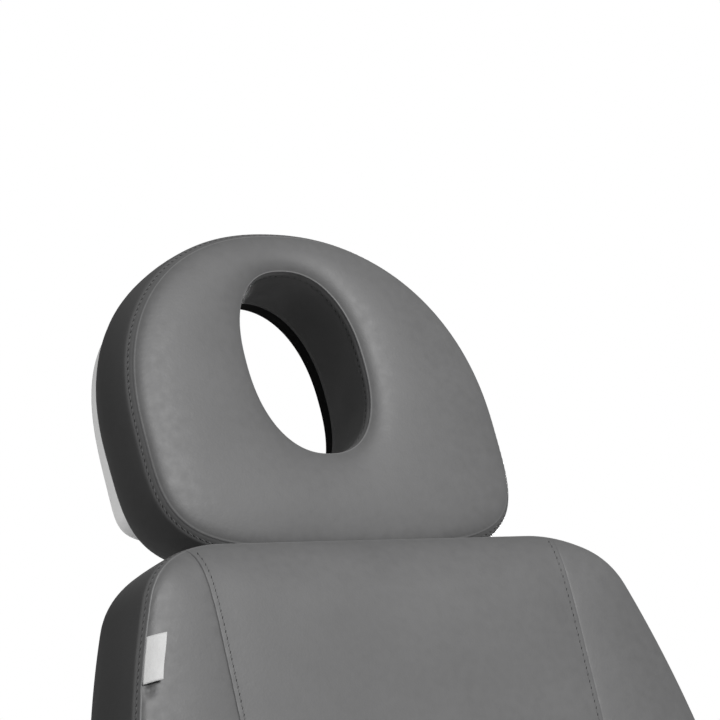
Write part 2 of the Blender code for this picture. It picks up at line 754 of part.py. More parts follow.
def build_seat_frame(tilt):
    """Rails with the back hinge plates, the tilt cradle, the two hinge shafts and the control box."""
    below = -TILT_Z
    rail_start = LEG_HINGE_Y - RAIL_NOSE
    rail_end = BACK_HINGE_Y + RAIL_NOSE + BACK_SHAFT_RADIUS
    for side, sx in (("left", 1), ("right", -1)):
        x = sx * RAIL_SPREAD
        corner = 2 * RAIL_WALL
        outer = rounded_rectangle(RAIL_SIDE, RAIL_SIDE, corner, steps=2)
        hollow = RAIL_SIDE - 2 * RAIL_WALL
        inner = rounded_rectangle(hollow, hollow, corner - RAIL_WALL, steps=2)
        place = (x, (rail_start + rail_end) / 2, RAIL_Z + below)
        length = rail_end - rail_start
        rail = slab(f"seat_rail_{side}", "face", [outer, inner], length, tilt, place, "white_paint")
        rise = BACK_HINGE_Z - RAIL_TOP + RAIL_WALL / 2
        base = RAIL_NOSE + BACK_SHAFT_RADIUS - RUN
        shape = wrapped([(0.0, 0.0, 2 * BACK_SHAFT_RADIUS), (-base, -rise, RUN), (base - RUN, -rise, RUN)])
        bore = circle((0.0, 0.0), BACK_SHAFT_RADIUS + FIT)
        plate_at = (x, BACK_HINGE_Y, BACK_HINGE_Z + below)
        plate = slab("plate", "side", [shape, bore], LEVER_THICK, tilt, plate_at, "steel")
        join(rail, plate)
        through = RAIL_SIDE
        shaft_at = (0.0, LEG_HINGE_Y, RAIL_Z + below)
        cut(rail, rod("bore", "x", LEG_SHAFT_RADIUS + FIT, x - through, x + through, tilt, shaft_at, "steel"))
    width = 2 * RAIL_SPREAD - RAIL_SIDE - 2 * FIT
    plate_z = RAIL_TOP - CRADLE_PLATE / 2
    shape = rounded_rectangle(width, CRADLE_DEPTH, CRADLE_PLATE)
    cradle = slab("seat_cradle", "floor", [shape], CRADLE_PLATE, tilt, (0, 0, plate_z + below), "white_paint")
    lug_x = EAR_SPREAD + EAR_THICK + FIT
    root = plate_z + below
    tools = []
    bore = circle((0.0, 0.0), TILT_PIN_RADIUS + FIT)
    for sx in (-1, 1):
        shape = wrapped([(0.0, 0.0, EAR_RADIUS), (-2 * EAR_RADIUS, root, RUN), (2 * EAR_RADIUS, root, RUN)])
        tools.append(slab("lug", "side", [shape, bore], EAR_THICK, tilt, (sx * lug_x, 0.0, 0.0), "steel"))
    pin = (TILT_LEVER * math.tan(math.radians(TILT_RANGE / 2)), -TILT_LEVER)
    rim = 3 * PIN_RADIUS
    shape = wrapped([(*pin, rim), (-2 * EAR_RADIUS, root, RUN), (2 * EAR_RADIUS, root, RUN)])
    eye = circle(pin, PIN_RADIUS + EYE_FIT)
    tools.append(slab("lever", "side", [shape, eye], LEVER_THICK, tilt, (TILT_DRIVE_X, 0.0, 0.0), "steel"))
    join(cradle, *tools)
    overhang = RAIL_SPREAD + RAIL_SIDE / 2 + LEG_SHAFT_RADIUS
    place = (0.0, LEG_HINGE_Y, RAIL_Z + below)
    rod("leg_hinge_shaft", "x", LEG_SHAFT_RADIUS, -overhang, overhang, tilt, place, "steel")
    place = (0.0, BACK_HINGE_Y, BACK_HINGE_Z + below)
    rod("back_hinge_shaft", "x", BACK_SHAFT_RADIUS, -overhang, overhang, tilt, place, "steel")
    size = Vector(CONTROL_BOX)
    high = Vector((CONTROL_BOX_AT[0] + size.x / 2, CONTROL_BOX_AT[1] + size.y / 2, RAIL_TOP + below))
    block("control_box", high - size, high, tilt, "black_plastic", edge=HOUSING_EDGE)


def build_seat(tilt):
    """Seat board and seat cushion."""
    middle = SEAT_FRONT + SEAT_DEPTH / 2
    inset = 2 * BOARD_INSET
    board = rounded_rectangle(SEAT_WIDTH - inset, SEAT_DEPTH - inset, SEAT_CORNER - BOARD_INSET)
    place = (0.0, middle, BOARD_BOTTOM + BOARD / 2 - TILT_Z)
    slab("seat_board", "floor", [board], BOARD, tilt, place, "plywood")
    pad = rounded_rectangle(SEAT_WIDTH, SEAT_DEPTH, SEAT_CORNER, steps=5)
    place = (0.0, middle, SEAT_BOTTOM + CUSHION / 2 - TILT_Z)
    slab("seat_cushion", "floor", [pad], CUSHION, tilt, place, "leather", CUSHION_EDGE)


def build_back_drive(tilt, rod_axis):
    """Actuator under the seat that pulls the backrest's slotted lever."""
    z = BACK_HINGE_Z - BACK_LEVER - TILT_Z
    gearbox = (BACK_SLEEVE_START - GEARBOX_LENGTH, BACK_SLEEVE_START)
    sleeve = (BACK_SLEEVE_START, BACK_SLEEVE_END)
    actuator("back_actuator", tilt, BACK_DRIVE_X, z, sleeve, gearbox, RAIL_TOP - TILT_Z, 1)
    swing = math.radians(BACK_MIDDLE - BACK_RECLINE)
    pin_y = BACK_HINGE_Y + BACK_LEVER * BACK_PIN_PER_RADIAN * swing
    rod_with_fork("back_rod", rod_axis, (BACK_DRIVE_X, pin_y, z), BACK_ROD_LENGTH, BACK_FORK_DEPTH, -1)


def build_backrest(back):
    """Back rails, cross tube with the slotted lever, board, cushion and rear cover."""
    rail_middle = BACK_FRAME_AT + BACK_RAIL_DEPTH / 2
    rail_back = BACK_FRAME_AT + BACK_RAIL_DEPTH
    rail_start = 2 * BACK_LUG_RADIUS
    corner = 2 * BACK_RAIL_WALL
    for side, sx in (("left", 1), ("right", -1)):
        x = sx * BACK_RAIL_SPREAD
        outer = rounded_rectangle(BACK_RAIL_WIDTH, BACK_RAIL_DEPTH, corner, steps=2)
        hollow = (BACK_RAIL_WIDTH - 2 * BACK_RAIL_WALL, BACK_RAIL_DEPTH - 2 * BACK_RAIL_WALL)
        inner = rounded_rectangle(*hollow, BACK_RAIL_WALL, steps=2)
        place = (x, rail_middle, (rail_start + BACK_RAIL_TOP) / 2)
        length = BACK_RAIL_TOP - rail_start
        rail = slab(f"back_rail_{side}", "floor", [outer, inner], length, back, place, "white_paint")
        elbow = arc((0.0, 0.0), BACK_LUG_RADIUS, QUARTER, 3 * QUARTER, 10)
        elbow += [
            (rail_back - RUN, -BACK_LUG_RADIUS),
            (rail_back - RUN, 2 * rail_start),
            (BACK_FRAME_AT + RUN, 2 * rail_start),
            (BACK_FRAME_AT + RUN, BACK_LUG_RADIUS),
        ]
        bore = circle((0.0, 0.0), BACK_SHAFT_RADIUS + FIT)
        join(rail, slab("lug", "side", [elbow, bore], BACK_LUG, back, (x, 0.0, 0.0), "steel"))
    half = BACK_RAIL_SPREAD - BACK_RAIL_WIDTH / 2 - FIT
    outer = rounded_rectangle(BACK_RAIL_DEPTH, BACK_RAIL_WIDTH, corner, steps=2)
    place = (0.0, rail_middle, BACK_CROSS_RISE)
    cross = slab("back_cross_tube", "side", [outer], 2 * half, back, place, "white_paint")
    swing = math.radians(BACK_MIDDLE)
    near = BACK_LEVER
    pin_far = BACK_LEVER * BACK_PIN_PER_RADIAN * math.radians(BACK_MAX - BACK_MIDDLE)
    far = math.hypot(BACK_LEVER, pin_far)
    ends = [(length * math.sin(swing), -length * math.cos(swing)) for length in (near, far)]
    rim = BACK_SLOT_RADIUS + BACK_SLOT_RIM
    foot = (rail_middle, BACK_CROSS_RISE, BACK_RAIL_DEPTH / 2 - RUN)
    lever = wrapped([(*end, rim) for end in ends] + [foot])
    slot = wrapped([(*end, BACK_SLOT_RADIUS) for end in ends])
    join(cross, slab("lever", "side", [lever, slot], LEVER_THICK, back, (BACK_DRIVE_X, 0, 0), "steel"))
    board = back_outline(BOARD_INSET)
    slab("back_board", "face", [board], BOARD, back, (0, BACK_BOARD_AT + BOARD / 2, 0), "plywood")
    pad = back_outline(0.0)
    place = (0.0, CUSHION / 2 - BACK_FRONT, 0.0)
    slab("back_cushion", "face", [pad], CUSHION, back, place, "leather", CUSHION_EDGE)


def build_back_cover(back):
    """Rear cover of the backrest, open towards the board, and the headrest's socket block inside it."""
    middle = (BACK_COVER_START + BACK_COVER_END) / 2
    height = BACK_COVER_END - BACK_COVER_START
    shells = []
    for name, inset in (("back_cover", 0.0), ("hollow", BACK_COVER_WALL)):
        width = 2 * (BACK_COVER_HALF_WIDTH - inset)
        rim = rounded_rectangle(width, height - 2 * inset, BACK_COVER_CORNER - inset, (0.0, middle))
        depth = 2 * (BACK_COVER_DEPTH - inset)
        edge = BACK_COVER_EDGE - inset
        shells.append(slab(name, "face", [rim], depth, back, (0, BACK_FRAME_AT, 0), "white_plastic", edge))
    cover, hollow = shells
    reach = BACK_LENGTH
    high = (reach, BACK_FRAME_AT, 2 * reach)
    front = block("front", (-reach, BACK_FRAME_AT - reach, -reach), high, back, "steel")
    rod_back = head_axis_in_back()[0]
    tools = [hollow, front]
    for sx in (-1, 1):
        place = (sx * HEAD_ROD_SPREAD, rod_back, 0.0)
        tools.append(rod("way", "z", HEAD_ROD_RADIUS + RUN, SOCKET_END, BACK_LENGTH, back, place, "steel"))
    knob_z = (SOCKET_START + SOCKET_END) / 2
    knob_at = (HEAD_ROD_SPREAD, 0.0, knob_z)
    tools.append(rod("stem_way", "y", STEM_RADIUS + RUN, rod_back, 2 * reach, back, knob_at, "steel"))
    cut(cover, *tools)
    socket_back = rod_back + HEAD_ROD_RADIUS + SOCKET_RIM
    half = SOCKET_WIDTH / 2
    socket = block(
        "headrest_socket",
        (-half, BACK_FRAME_AT, SOCKET_START),
        (half, socket_back, SOCKET_END),
        back,
        "aluminium",
        edge=SOCKET_EDGE,
    )
    bores = []
    for sx in (-1, 1):
        place = (sx * HEAD_ROD_SPREAD, rod_back, 0.0)
        bores.append(rod("bore", "z", HEAD_ROD_RADIUS + RUN / 2, 0.0, 2 * reach, back, place, "steel"))
    bores.append(rod("tap", "y", STEM_RADIUS + FIT, rod_back, 2 * reach, back, knob_at, "steel"))
    cut(socket, *bores)


def head_axis_in_back():
    """Return the headrest hinge's depth and height in the backrest's frame."""
    turn = math.radians(HEAD_TURN)
    deep = HEAD_CENTRE_BACK + HEAD_AXIS_BACK * math.cos(turn) + HEAD_AXIS_UP * math.sin(turn)
    up = HEAD_CENTRE_UP + HEAD_AXIS_UP * math.cos(turn) - HEAD_AXIS_BACK * math.sin(turn)
    return deep, up


def build_knob(name, axis_empty, radius, length, gap, stem):
    """Turn a clamp knob on its own axis: stem towards -Z, lobed grip towards +Z."""
    lobe = radius * KNOB_LOBE_SHARE
    outline = wrapped([(x, y, lobe) for x, y in circle((0.0, 0.0), radius - lobe, KNOB_LOBES)])
    middle = gap + length / 2
    grip = slab(name, "floor", [outline], length, axis_empty, (0, 0, middle), "black_plastic", KNOB_EDGE, 1)
    return join(grip, rod("stem", "z", STEM_RADIUS, -stem, middle, axis_empty, (0, 0, 0), "steel"))


def build_headrest_rods(slide):
    """U-shaped rods: two legs in the sockets and the bar that the headrest turns on."""
    deep, up = head_axis_in_back()
    bend = HEAD_ROD_BEND
    corner = (HEAD_ROD_SPREAD - bend, up - bend)
    half = [(HEAD_ROD_SPREAD, up - HEAD_ROD_LENGTH)] + arc(corner, bend, 0.0, QUARTER, 6)
    path = [(x, deep, z) for x, z in half] + [(-x, deep, z) for x, z in reversed(half)]
    bent_rod("headrest_rods", path, HEAD_ROD_RADIUS, slide, (0, 0, 0), "steel")


def build_headrest(head):
    """Hinge bracket, board, cushion with the face hole and rear cover, drawn about the headrest's hinge."""
    shift = Vector((0.0, -HEAD_AXIS_BACK, -HEAD_AXIS_UP))

    def layer(start, depth):
        return shift + Vector((0.0, start + depth / 2, 0.0))

    pad = [head_outline(0.0), hole_outline(0.0, 0.0)]
    slab("headrest_cushion", "face", pad, HEAD_CUSHION, head, layer(0.0, HEAD_CUSHION), "leather", HEAD_EDGE)
    rise, drop = HEAD_RISE - HEAD_BOARD_TOP_INSET, HEAD_DROP - HEAD_BOARD_FOOT_INSET
    half_width = HEAD_HALF_WIDTH - HEAD_BOARD_INSET
    rim = oval(half_width, rise, drop, HEAD_MIDDLE, HEAD_TOP_POWER, HEAD_BOARD_FOOT_POWER)
    board = [rim, hole_outline(HOLE_STEP, HOLE_STEP)]
    slab("headrest_board", "face", board, BOARD, head, layer(HEAD_BOARD_AT, BOARD), "plywood")
    shells = []
    for name, wall in (("headrest_cover", 0.0), ("hollow", HEAD_COVER_WALL)):
        rim = head_outline(HEAD_COVER_INSET + wall, HEAD_COVER_DROP + HEAD_COVER_INSET, HEAD_COVER_POWER)
        shape = [rim, hole_outline(COVER_HOLE_SIDE + wall, COVER_HOLE_RISE + wall)]
        depth = 2 * (HEAD_COVER_DEPTH - wall)
        edge = HEAD_COVER_EDGE - wall
        place = layer(HEAD_COVER_AT, 0.0)
        shells.append(slab(name, "face", shape, depth, head, place, "white_plastic", edge, 1))
    cover, hollow = shells
    reach = 2 * HEAD_HALF_WIDTH
    face = HEAD_COVER_AT - HEAD_AXIS_BACK
    front = block("front", (-reach, face - reach, -reach), (reach, face, 2 * reach), head, "steel")
    cut(cover, hollow, front)
    half = HEAD_BRACKET_WIDTH / 2
    plate = block(
        "headrest_bracket",
        (-half, face, -HEAD_EAR_RADIUS),
        (half, face + HEAD_BRACKET_PLATE, HEAD_EAR_RADIUS),
        head,
        "steel",
    )
    ears = []
    root = face + HEAD_BRACKET_PLATE / 2
    for sx in (-1, 1):
        corner = HEAD_EAR_RADIUS - RUN
        shape = wrapped([(0.0, 0.0, HEAD_EAR_RADIUS), (root, corner, RUN), (root, -corner, RUN)])
        bore = circle((0.0, 0.0), HEAD_ROD_RADIUS + FIT)
        place = (sx * HEAD_EAR_SPREAD, 0.0, 0.0)
        ears.append(slab("ear", "side", [shape, bore], EAR_THICK, head, place, "steel"))
    join(plate, *ears)


def build_leg_frame(leg, side, sx):
    """Hinge barrel and two hollow tubes of one leg rest."""
    outer = rounded_rectangle(LEG_TUBE, LEG_TUBE, 2 * LEG_TUBE_WALL, steps=2)
    hollow = LEG_TUBE - 2 * LEG_TUBE_WALL
    inner = rounded_rectangle(hollow, hollow, FIT, steps=1)
    tube_z = LEG_TUBE_RISE + LEG_TUBE / 2
    place = (sx * LEG_TUBE_OUTER_X, -LEG_TUBE_LENGTH / 2, tube_z)
    frame = slab(f"leg_frame_{side}", "face", [outer, inner], LEG_TUBE_LENGTH, leg, place, "white_paint")
    place = (sx * LEG_TUBE_INNER_X, -LEG_TUBE_LENGTH / 2, tube_z)
    twin = slab("twin", "face", [outer, inner], LEG_TUBE_LENGTH, leg, place, "steel")
    ends = sorted((sx * LEG_BARREL_START, sx * LEG_BARREL_END))
    barrel = rod("barrel", "x", LEG_BARREL_RADIUS, *ends, leg, (0, 0, 0), "steel")
    join(frame, barrel, twin)
    reach = 2 * LEG_BARREL_END
    tap_at = (sx * LEG_TUBE_OUTER_X, -LEG_KNOB_AT, 0.0)
    cut(
        frame,
        rod("bore", "x", LEG_SHAFT_RADIUS + FIT, -reach, reach, leg, (0, 0, 0), "steel"),
        rod("tap", "z", STEM_RADIUS + FIT, -LEG_TUBE, tube_z, leg, tap_at, "steel"),
    )


def build_leg_slider(slide, side, sx):
    """Bars that run in the leg frame's tubes, their end bar, and the board and cushion of one leg rest."""
    bar = (LEG_TUBE - 2 * LEG_TUBE_WALL) / 2 - RUN / 2
    tube_z = LEG_TUBE_RISE + LEG_TUBE / 2
    tops = LEG_TUBE_RISE + LEG_TUBE
    ends = sorted((sx * (LEG_TUBE_INNER_X - LEG_TUBE / 2), sx * (LEG_TUBE_OUTER_X + LEG_TUBE / 2)))
    slider = block(
        f"leg_slider_{side}",
        (ends[0], -LEG_SLIDER_END, LEG_TUBE_RISE),
        (ends[1], LEG_SLIDER_BAR - LEG_SLIDER_END, tops),
        slide,
        "steel",
        edge=LEG_SLIDER_EDGE,
    )
    bars = [
        block(
            "bar",
            (sx * x - bar, LEG_SLIDER_BAR / 2 - LEG_SLIDER_END, tube_z - bar),
            (sx * x + bar, -LEG_SLIDER_START, tube_z + bar),
            slide,
            "steel",
        )
        for x in (LEG_TUBE_INNER_X, LEG_TUBE_OUTER_X)
    ]
    join(slider, *bars)
    width = (SEAT_WIDTH - LEG_PAD_GAP) / 2
    length = LEG_PAD_END - LEG_PAD_START
    middle = (sx * (LEG_PAD_GAP + width) / 2, -(LEG_PAD_START + LEG_PAD_END) / 2)
    inset = 2 * BOARD_INSET
    board = rounded_rectangle(width - inset, length - inset, LEG_PAD_CORNER - BOARD_INSET)
    board_z = tops + FIT + BOARD / 2
    slab(f"leg_board_{side}", "floor", [board], BOARD, slide, (*middle, board_z), "plywood")
    pad = rounded_rectangle(width, length, LEG_PAD_CORNER, steps=5)
    pad_z = tops + 2 * FIT + BOARD + LEG_PAD_THICK / 2
    place = (*middle, pad_z)
    slab(f"leg_cushion_{side}", "floor", [pad], LEG_PAD_THICK, slide, place, "leather", CUSHION_EDGE)


def build_leg(tilt, side, sx):
    """One leg rest, hinged at the front of the seat and sliding out."""
    hinge = (0.0, LEG_HINGE_Y, RAIL_Z - TILT_Z)
    leg = axis_marker(f"axis_leg_{side}", tilt, hinge, LEG_DROP_ANGLE)
    slide = axis_marker(f"axis_leg_slide_{side}", leg, (0, 0, 0))
    build_leg_frame(leg, side, sx)
    build_leg_slider(slide, side, sx)
    knob_at = (sx * LEG_TUBE_OUTER_X, -LEG_KNOB_AT, LEG_TUBE_RISE)
    knob = axis_marker(f"axis_leg_knob_{side}", leg, knob_at, 180.0)
    stem = LEG_TUBE_WALL + RUN / 4
    build_knob(f"leg_knob_{side}", knob, LEG_KNOB_RADIUS, LEG_KNOB_LENGTH, LEG_KNOB_GAP, stem)


def build_armrest(tilt, side, sx):
    """One armrest: the fixed post with its pin, and the folding beam and pad."""
    below = -TILT_Z
    pad_middle = BACK_HALF_WIDTH + ARM_GAP + ARM_PAD_WIDTH / 2
    post_inner = pad_middle - ARM_POST / 2
    post_outer = pad_middle + ARM_POST / 2
    pivot_z = SEAT_TOP + ARM_PIVOT_ABOVE_SEAT + below
    low = RAIL_Z - ARM_POST / 2 + below
    start = RAIL_SPREAD + RAIL_SIDE / 2 + FIT
    top = pivot_z + ARM_POST / 2
    elbow = [
        (sx * x, z)
        for x, z in (
            (start, low),
            (post_outer, low),
            (post_outer, top),
            (post_inner, top),
            (post_inner, low + ARM_POST),
            (start, low + ARM_POST),
        )
    ]
    place = (0.0, ARM_POST_Y, 0.0)
    post = slab(f"arm_post_{side}", "face", [elbow], ARM_POST, tilt, place, "white_paint", ARM_POST_EDGE, 1)
    lug_outer = post_outer + FIT + ARM_LUG
    ends = sorted((sx * pad_middle, sx * (lug_outer + ARM_BAR / 2)))
    join(post, rod("pin", "x", ARM_PIN_RADIUS, *ends, tilt, (0.0, ARM_POST_Y, pivot_z), "steel"))
    arm = axis_marker(f"axis_arm_{side}", tilt, (0.0, ARM_POST_Y, pivot_z))
    bar_top = ARM_BAR_RISE + ARM_BAR
    inner = 2 * pad_middle - lug_outer
    ends = sorted((sx * inner, sx * lug_outer))
    beam = block(
        f"arm_beam_{side}",
        (ends[0], -ARM_BAR_REACH, ARM_BAR_RISE),
        (ends[1], ARM_BAR_TAIL, bar_top),
        arm,
        "white_paint",
        edge=ARM_BAR_EDGE,
    )
    root = bar_top - ARM_BAR / 2
    ends = [(RUN - ARM_BAR_TAIL, root, RUN), (ARM_BAR_TAIL - 2 * RUN, root, RUN)]
    shape = wrapped([(0.0, 0.0, ARM_LUG_RADIUS), *ends])
    bore = circle((0.0, 0.0), ARM_PIN_RADIUS + FIT)
    lug_at = (sx * (post_outer + FIT + ARM_LUG / 2), 0.0, 0.0)
    join(beam, slab("lug", "side", [shape, bore], ARM_LUG - RUN, arm, lug_at, "steel"))
    pad = rounded_rectangle(ARM_PAD_WIDTH, ARM_PAD_LENGTH, ARM_PAD_CORNER)
    place = (sx * pad_middle, ARM_OVERHANG - ARM_PAD_LENGTH / 2, bar_top + FIT + ARM_PAD_THICK / 2)
    slab(f"arm_pad_{side}", "floor", [pad], ARM_PAD_THICK, arm, place, "leather", ARM_PAD_EDGE)


def build_handset(tilt):
    """Handset in its holder on the sitter's right rail, with three rocker keys that face outwards."""
    below = -TILT_Z
    depth, width, height = HANDSET_SIZE
    inner = -(SEAT_WIDTH / 2 + HANDSET_CLEAR)
    outer = inner - depth
    floor = RAIL_Z + below
    half = width / 2
    wall = HOLDER_WALL
    cup = block(
        "handset_holder",
        (outer - FIT - wall, HANDSET_Y - half - FIT - wall, floor - wall),
        (inner + FIT + wall, HANDSET_Y + half + FIT + wall, floor - wall + HOLDER_HEIGHT),
        tilt,
        "black_plastic",
        edge=HOLDER_EDGE,
    )
    rail_face = -(RAIL_SPREAD + RAIL_SIDE / 2 + FIT)
    tab = block(
        "tab",
        (inner + wall / 2, HANDSET_Y - half, floor - wall + RUN),
        (rail_face, HANDSET_Y + half, floor - wall + RUN + HOLDER_TAB),
        tilt,
        "steel",
    )
    pocket = block(
        "pocket",
        (outer - FIT, HANDSET_Y - half - FIT, floor),
        (inner + FIT, HANDSET_Y + half + FIT, floor + height),
        tilt,
        "steel",
    )
    cut(join(cup, tab), pocket)
    body = block(
        "handset_body",
        (outer, HANDSET_Y - half, floor + FIT),
        (inner, HANDSET_Y + half, floor + FIT + height),
        tilt,
        "grey_plastic",
        edge=HANDSET_EDGE,
    )
    sunk = KEY_THICK - KEY_PROUD
    for number, name in enumerate(KEYS):
        z = floor + FIT + height - KEY_TOP - number * KEY_PITCH
        pocket = block(
            "pocket",
            (outer - depth, HANDSET_Y - KEY_WIDTH / 2 - KEY_SIDE_GAP, z - KEY_HEIGHT / 2 - KEY_SIDE_GAP),
            (
                outer + sunk + KEY_BACK_GAP,
                HANDSET_Y + KEY_WIDTH / 2 + KEY_SIDE_GAP,
                z + KEY_HEIGHT / 2 + KEY_SIDE_GAP,
            ),
            tilt,
            "steel",
        )
        cut(body, pocket)
        axis = axis_marker(f"axis_key_{name}", tilt, (outer + sunk / 2, HANDSET_Y, z))
        block(
            f"key_{name}",
            (-sunk / 2 - KEY_PROUD, -KEY_WIDTH / 2, -KEY_HEIGHT / 2),
            (sunk / 2, KEY_WIDTH / 2, KEY_HEIGHT / 2),
            axis,
            "white_plastic",
            edge=KEY_EDGE,
        )


def centre_on_origin(root):
    """Slide the whole chair along Y until its box is centred on the origin."""
    bpy.context.view_layer.update()
    graph = bpy.context.evaluated_depsgraph_get()
    reach = []
    for piece in CHAIR.objects:
        if piece.type == "MESH":
            corners = piece.evaluated_get(graph).bound_box
            reach += [(piece.matrix_world @ Vector(corner)).y for corner in corners]
    root.location.y -= (min(reach) + max(reach)) / 2


def build_chair():
    """Set the joint axes in a tree and hang every piece from its own."""
    root = axis_marker("chair", None, (0, 0, 0))
    middle = axis_marker("axis_lift_middle", root, (0, 0, 0))
    top = axis_marker("axis_lift", root, (0, 0, 0))
    tilt = axis_marker("axis_tilt", top, (0, 0, TILT_Z))
    tilt_rod = axis_marker("axis_tilt_rod", top, (0, 0, 0))
    back_rod = axis_marker("axis_back_rod", tilt, (0, 0, 0))
    back = axis_marker("axis_back", tilt, (0, BACK_HINGE_Y, BACK_HINGE_Z - TILT_Z), -BACK_RECLINE)
    slide = axis_marker("axis_head_slide", back, (0, 0, 0))
    head = axis_marker("axis_head", slide, (0, *head_axis_in_back()), -HEAD_TURN)
    build_base(root)
    build_column(root, middle, top)
    build_column_head(top)
    build_tilt_drive(top, tilt_rod)
    build_seat_frame(tilt)
    build_seat(tilt)
    build_back_drive(tilt, back_rod)
    build_backrest(back)
    build_back_cover(back)
    knob_at = (HEAD_ROD_SPREAD, BACK_FRAME_AT + BACK_COVER_DEPTH, (SOCKET_START + SOCKET_END) / 2)
    knob = axis_marker("axis_head_knob", back, knob_at, -90.0)
    stem = knob_at[1] - head_axis_in_back()[0] - HEAD_ROD_RADIUS - FIT
    build_knob("headrest_knob", knob, KNOB_RADIUS, KNOB_LENGTH, FIT, stem)
    build_headrest_rods(slide)
    build_headrest(head)
    for side, sx in (("left", 1), ("right", -1)):
        build_leg(tilt, side, sx)
        build_armrest(tilt, side, sx)
    build_handset(tilt)
    centre_on_origin(root)


build_chair()
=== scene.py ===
"""Looks of the electric pedicure chair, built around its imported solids.

Every piece is drawn in metres in the frame of the solids: +Z up, the sitter facing -Y, +X to the sitter's
left. Cushions are drawn in flat places of their own (across, deep, up), where deep = 0 is the plane of the
front seam.
"""

from __future__ import annotations

import json
import logging
import math
from dataclasses import dataclass, field, replace
from enum import Enum

import bmesh
import bpy
import numpy as np
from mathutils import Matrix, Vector

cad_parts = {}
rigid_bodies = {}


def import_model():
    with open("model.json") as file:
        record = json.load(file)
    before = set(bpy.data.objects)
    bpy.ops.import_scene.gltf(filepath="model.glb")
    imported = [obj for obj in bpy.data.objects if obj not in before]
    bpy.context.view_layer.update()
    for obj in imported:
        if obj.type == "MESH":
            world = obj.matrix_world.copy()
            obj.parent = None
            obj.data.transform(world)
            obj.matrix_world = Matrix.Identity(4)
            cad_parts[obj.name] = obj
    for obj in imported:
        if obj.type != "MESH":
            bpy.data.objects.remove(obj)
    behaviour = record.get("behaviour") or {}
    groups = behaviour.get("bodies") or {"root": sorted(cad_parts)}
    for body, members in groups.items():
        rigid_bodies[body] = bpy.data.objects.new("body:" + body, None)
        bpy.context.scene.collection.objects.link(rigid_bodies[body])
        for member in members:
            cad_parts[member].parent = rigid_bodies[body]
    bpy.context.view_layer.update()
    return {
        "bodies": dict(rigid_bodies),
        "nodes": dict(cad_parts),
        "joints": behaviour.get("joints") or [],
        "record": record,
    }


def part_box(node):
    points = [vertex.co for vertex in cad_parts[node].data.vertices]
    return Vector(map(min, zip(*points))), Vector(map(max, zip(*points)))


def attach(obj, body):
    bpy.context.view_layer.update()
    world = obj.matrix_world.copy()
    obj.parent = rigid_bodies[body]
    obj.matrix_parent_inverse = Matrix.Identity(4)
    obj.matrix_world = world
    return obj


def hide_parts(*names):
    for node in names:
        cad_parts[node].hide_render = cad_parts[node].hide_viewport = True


Array = np.ndarray
Triple = tuple[float, float, float]
Piece = bpy.types.Object
Socket = bpy.types.NodeSocket
LOG = logging.getLogger("chair")
ACROSS = np.array((1.0, 0.0, 0.0))
BACKWARDS = np.array((0.0, 1.0, 0.0))
UPWARDS = np.array((0.0, 0.0, 1.0))
SIDES = (("left", 1.0), ("right", -1.0))
SEAM_STEPS = np.array((0.0, 0.4, 0.8, 1.3, 1.9, 2.7, 3.8, 5.3, 7.2, 9.6, 12.6, 16.6, 22.0)) * 0.001
WALL_STEPS = np.array(
    (0.0, 0.4, 0.8, 1.3, 1.9, 2.7, 3.5, 4.3, 5.0, 5.7, 6.4, 7.2, 8.2, 9.5, 11.5, 14.0, 17.0)
) * 0.001
WALL_CELL = 0.006
OUTLINE_POINTS = 420
SEAM_POINTS = 160
STITCH_PITCH = 0.0062
STITCH_LENGTH = 0.0043
STITCH_SLANT = 0.38
STITCH_PULL = 0.0004
STITCH_PULL_REACH = 0.0012
STITCH_SHADE = 0.15
STITCH_SHADE_REACH = 0.0009
THREAD_RADIUS = 0.0005
SLOT_SIZE = (0.0016, 0.00045)
PUCKER_REACH = 0.004
PUCKER_START = 0.002
BEAD_HEIGHT = 0.0005
BEAD_REACH = 0.0005
EDGE_BLEND = 0.0008
EDGE_ROLL = 0.0020
EDGE_ROLL_REACH = 0.0034
CLOTH = {
    "quality": 5,
    "mass": 0.4,
    "tension_stiffness": 20.0,
    "compression_stiffness": 20.0,
    "shear_stiffness": 8.0,
    "bending_stiffness": 2.0,
    "air_damping": 4.0,
    "use_pressure": True,
    "vertex_group_mass": "held",
    "pin_stiffness": 50.0,
    "shrink_min": 0.0,
}
SIM_FRAMES = 20
SMOOTH_PASSES = 8


class Finish(Enum):
    """The chair's finishes. Those of the solids carry the names of their material slots."""

    LEATHER = "leather"
    WHITE_PAINT = "white_paint"
    WHITE_PLASTIC = "white_plastic"
    PLYWOOD = "plywood"
    BLACK_PLASTIC = "black_plastic"
    GREY_PLASTIC = "grey_plastic"
    STEEL = "steel"
    ALUMINIUM = "aluminium"
    RUBBER = "rubber"
    THREAD = "thread"
    NEEDLE_HOLES = "needle_holes"
    TAPE = "tape"


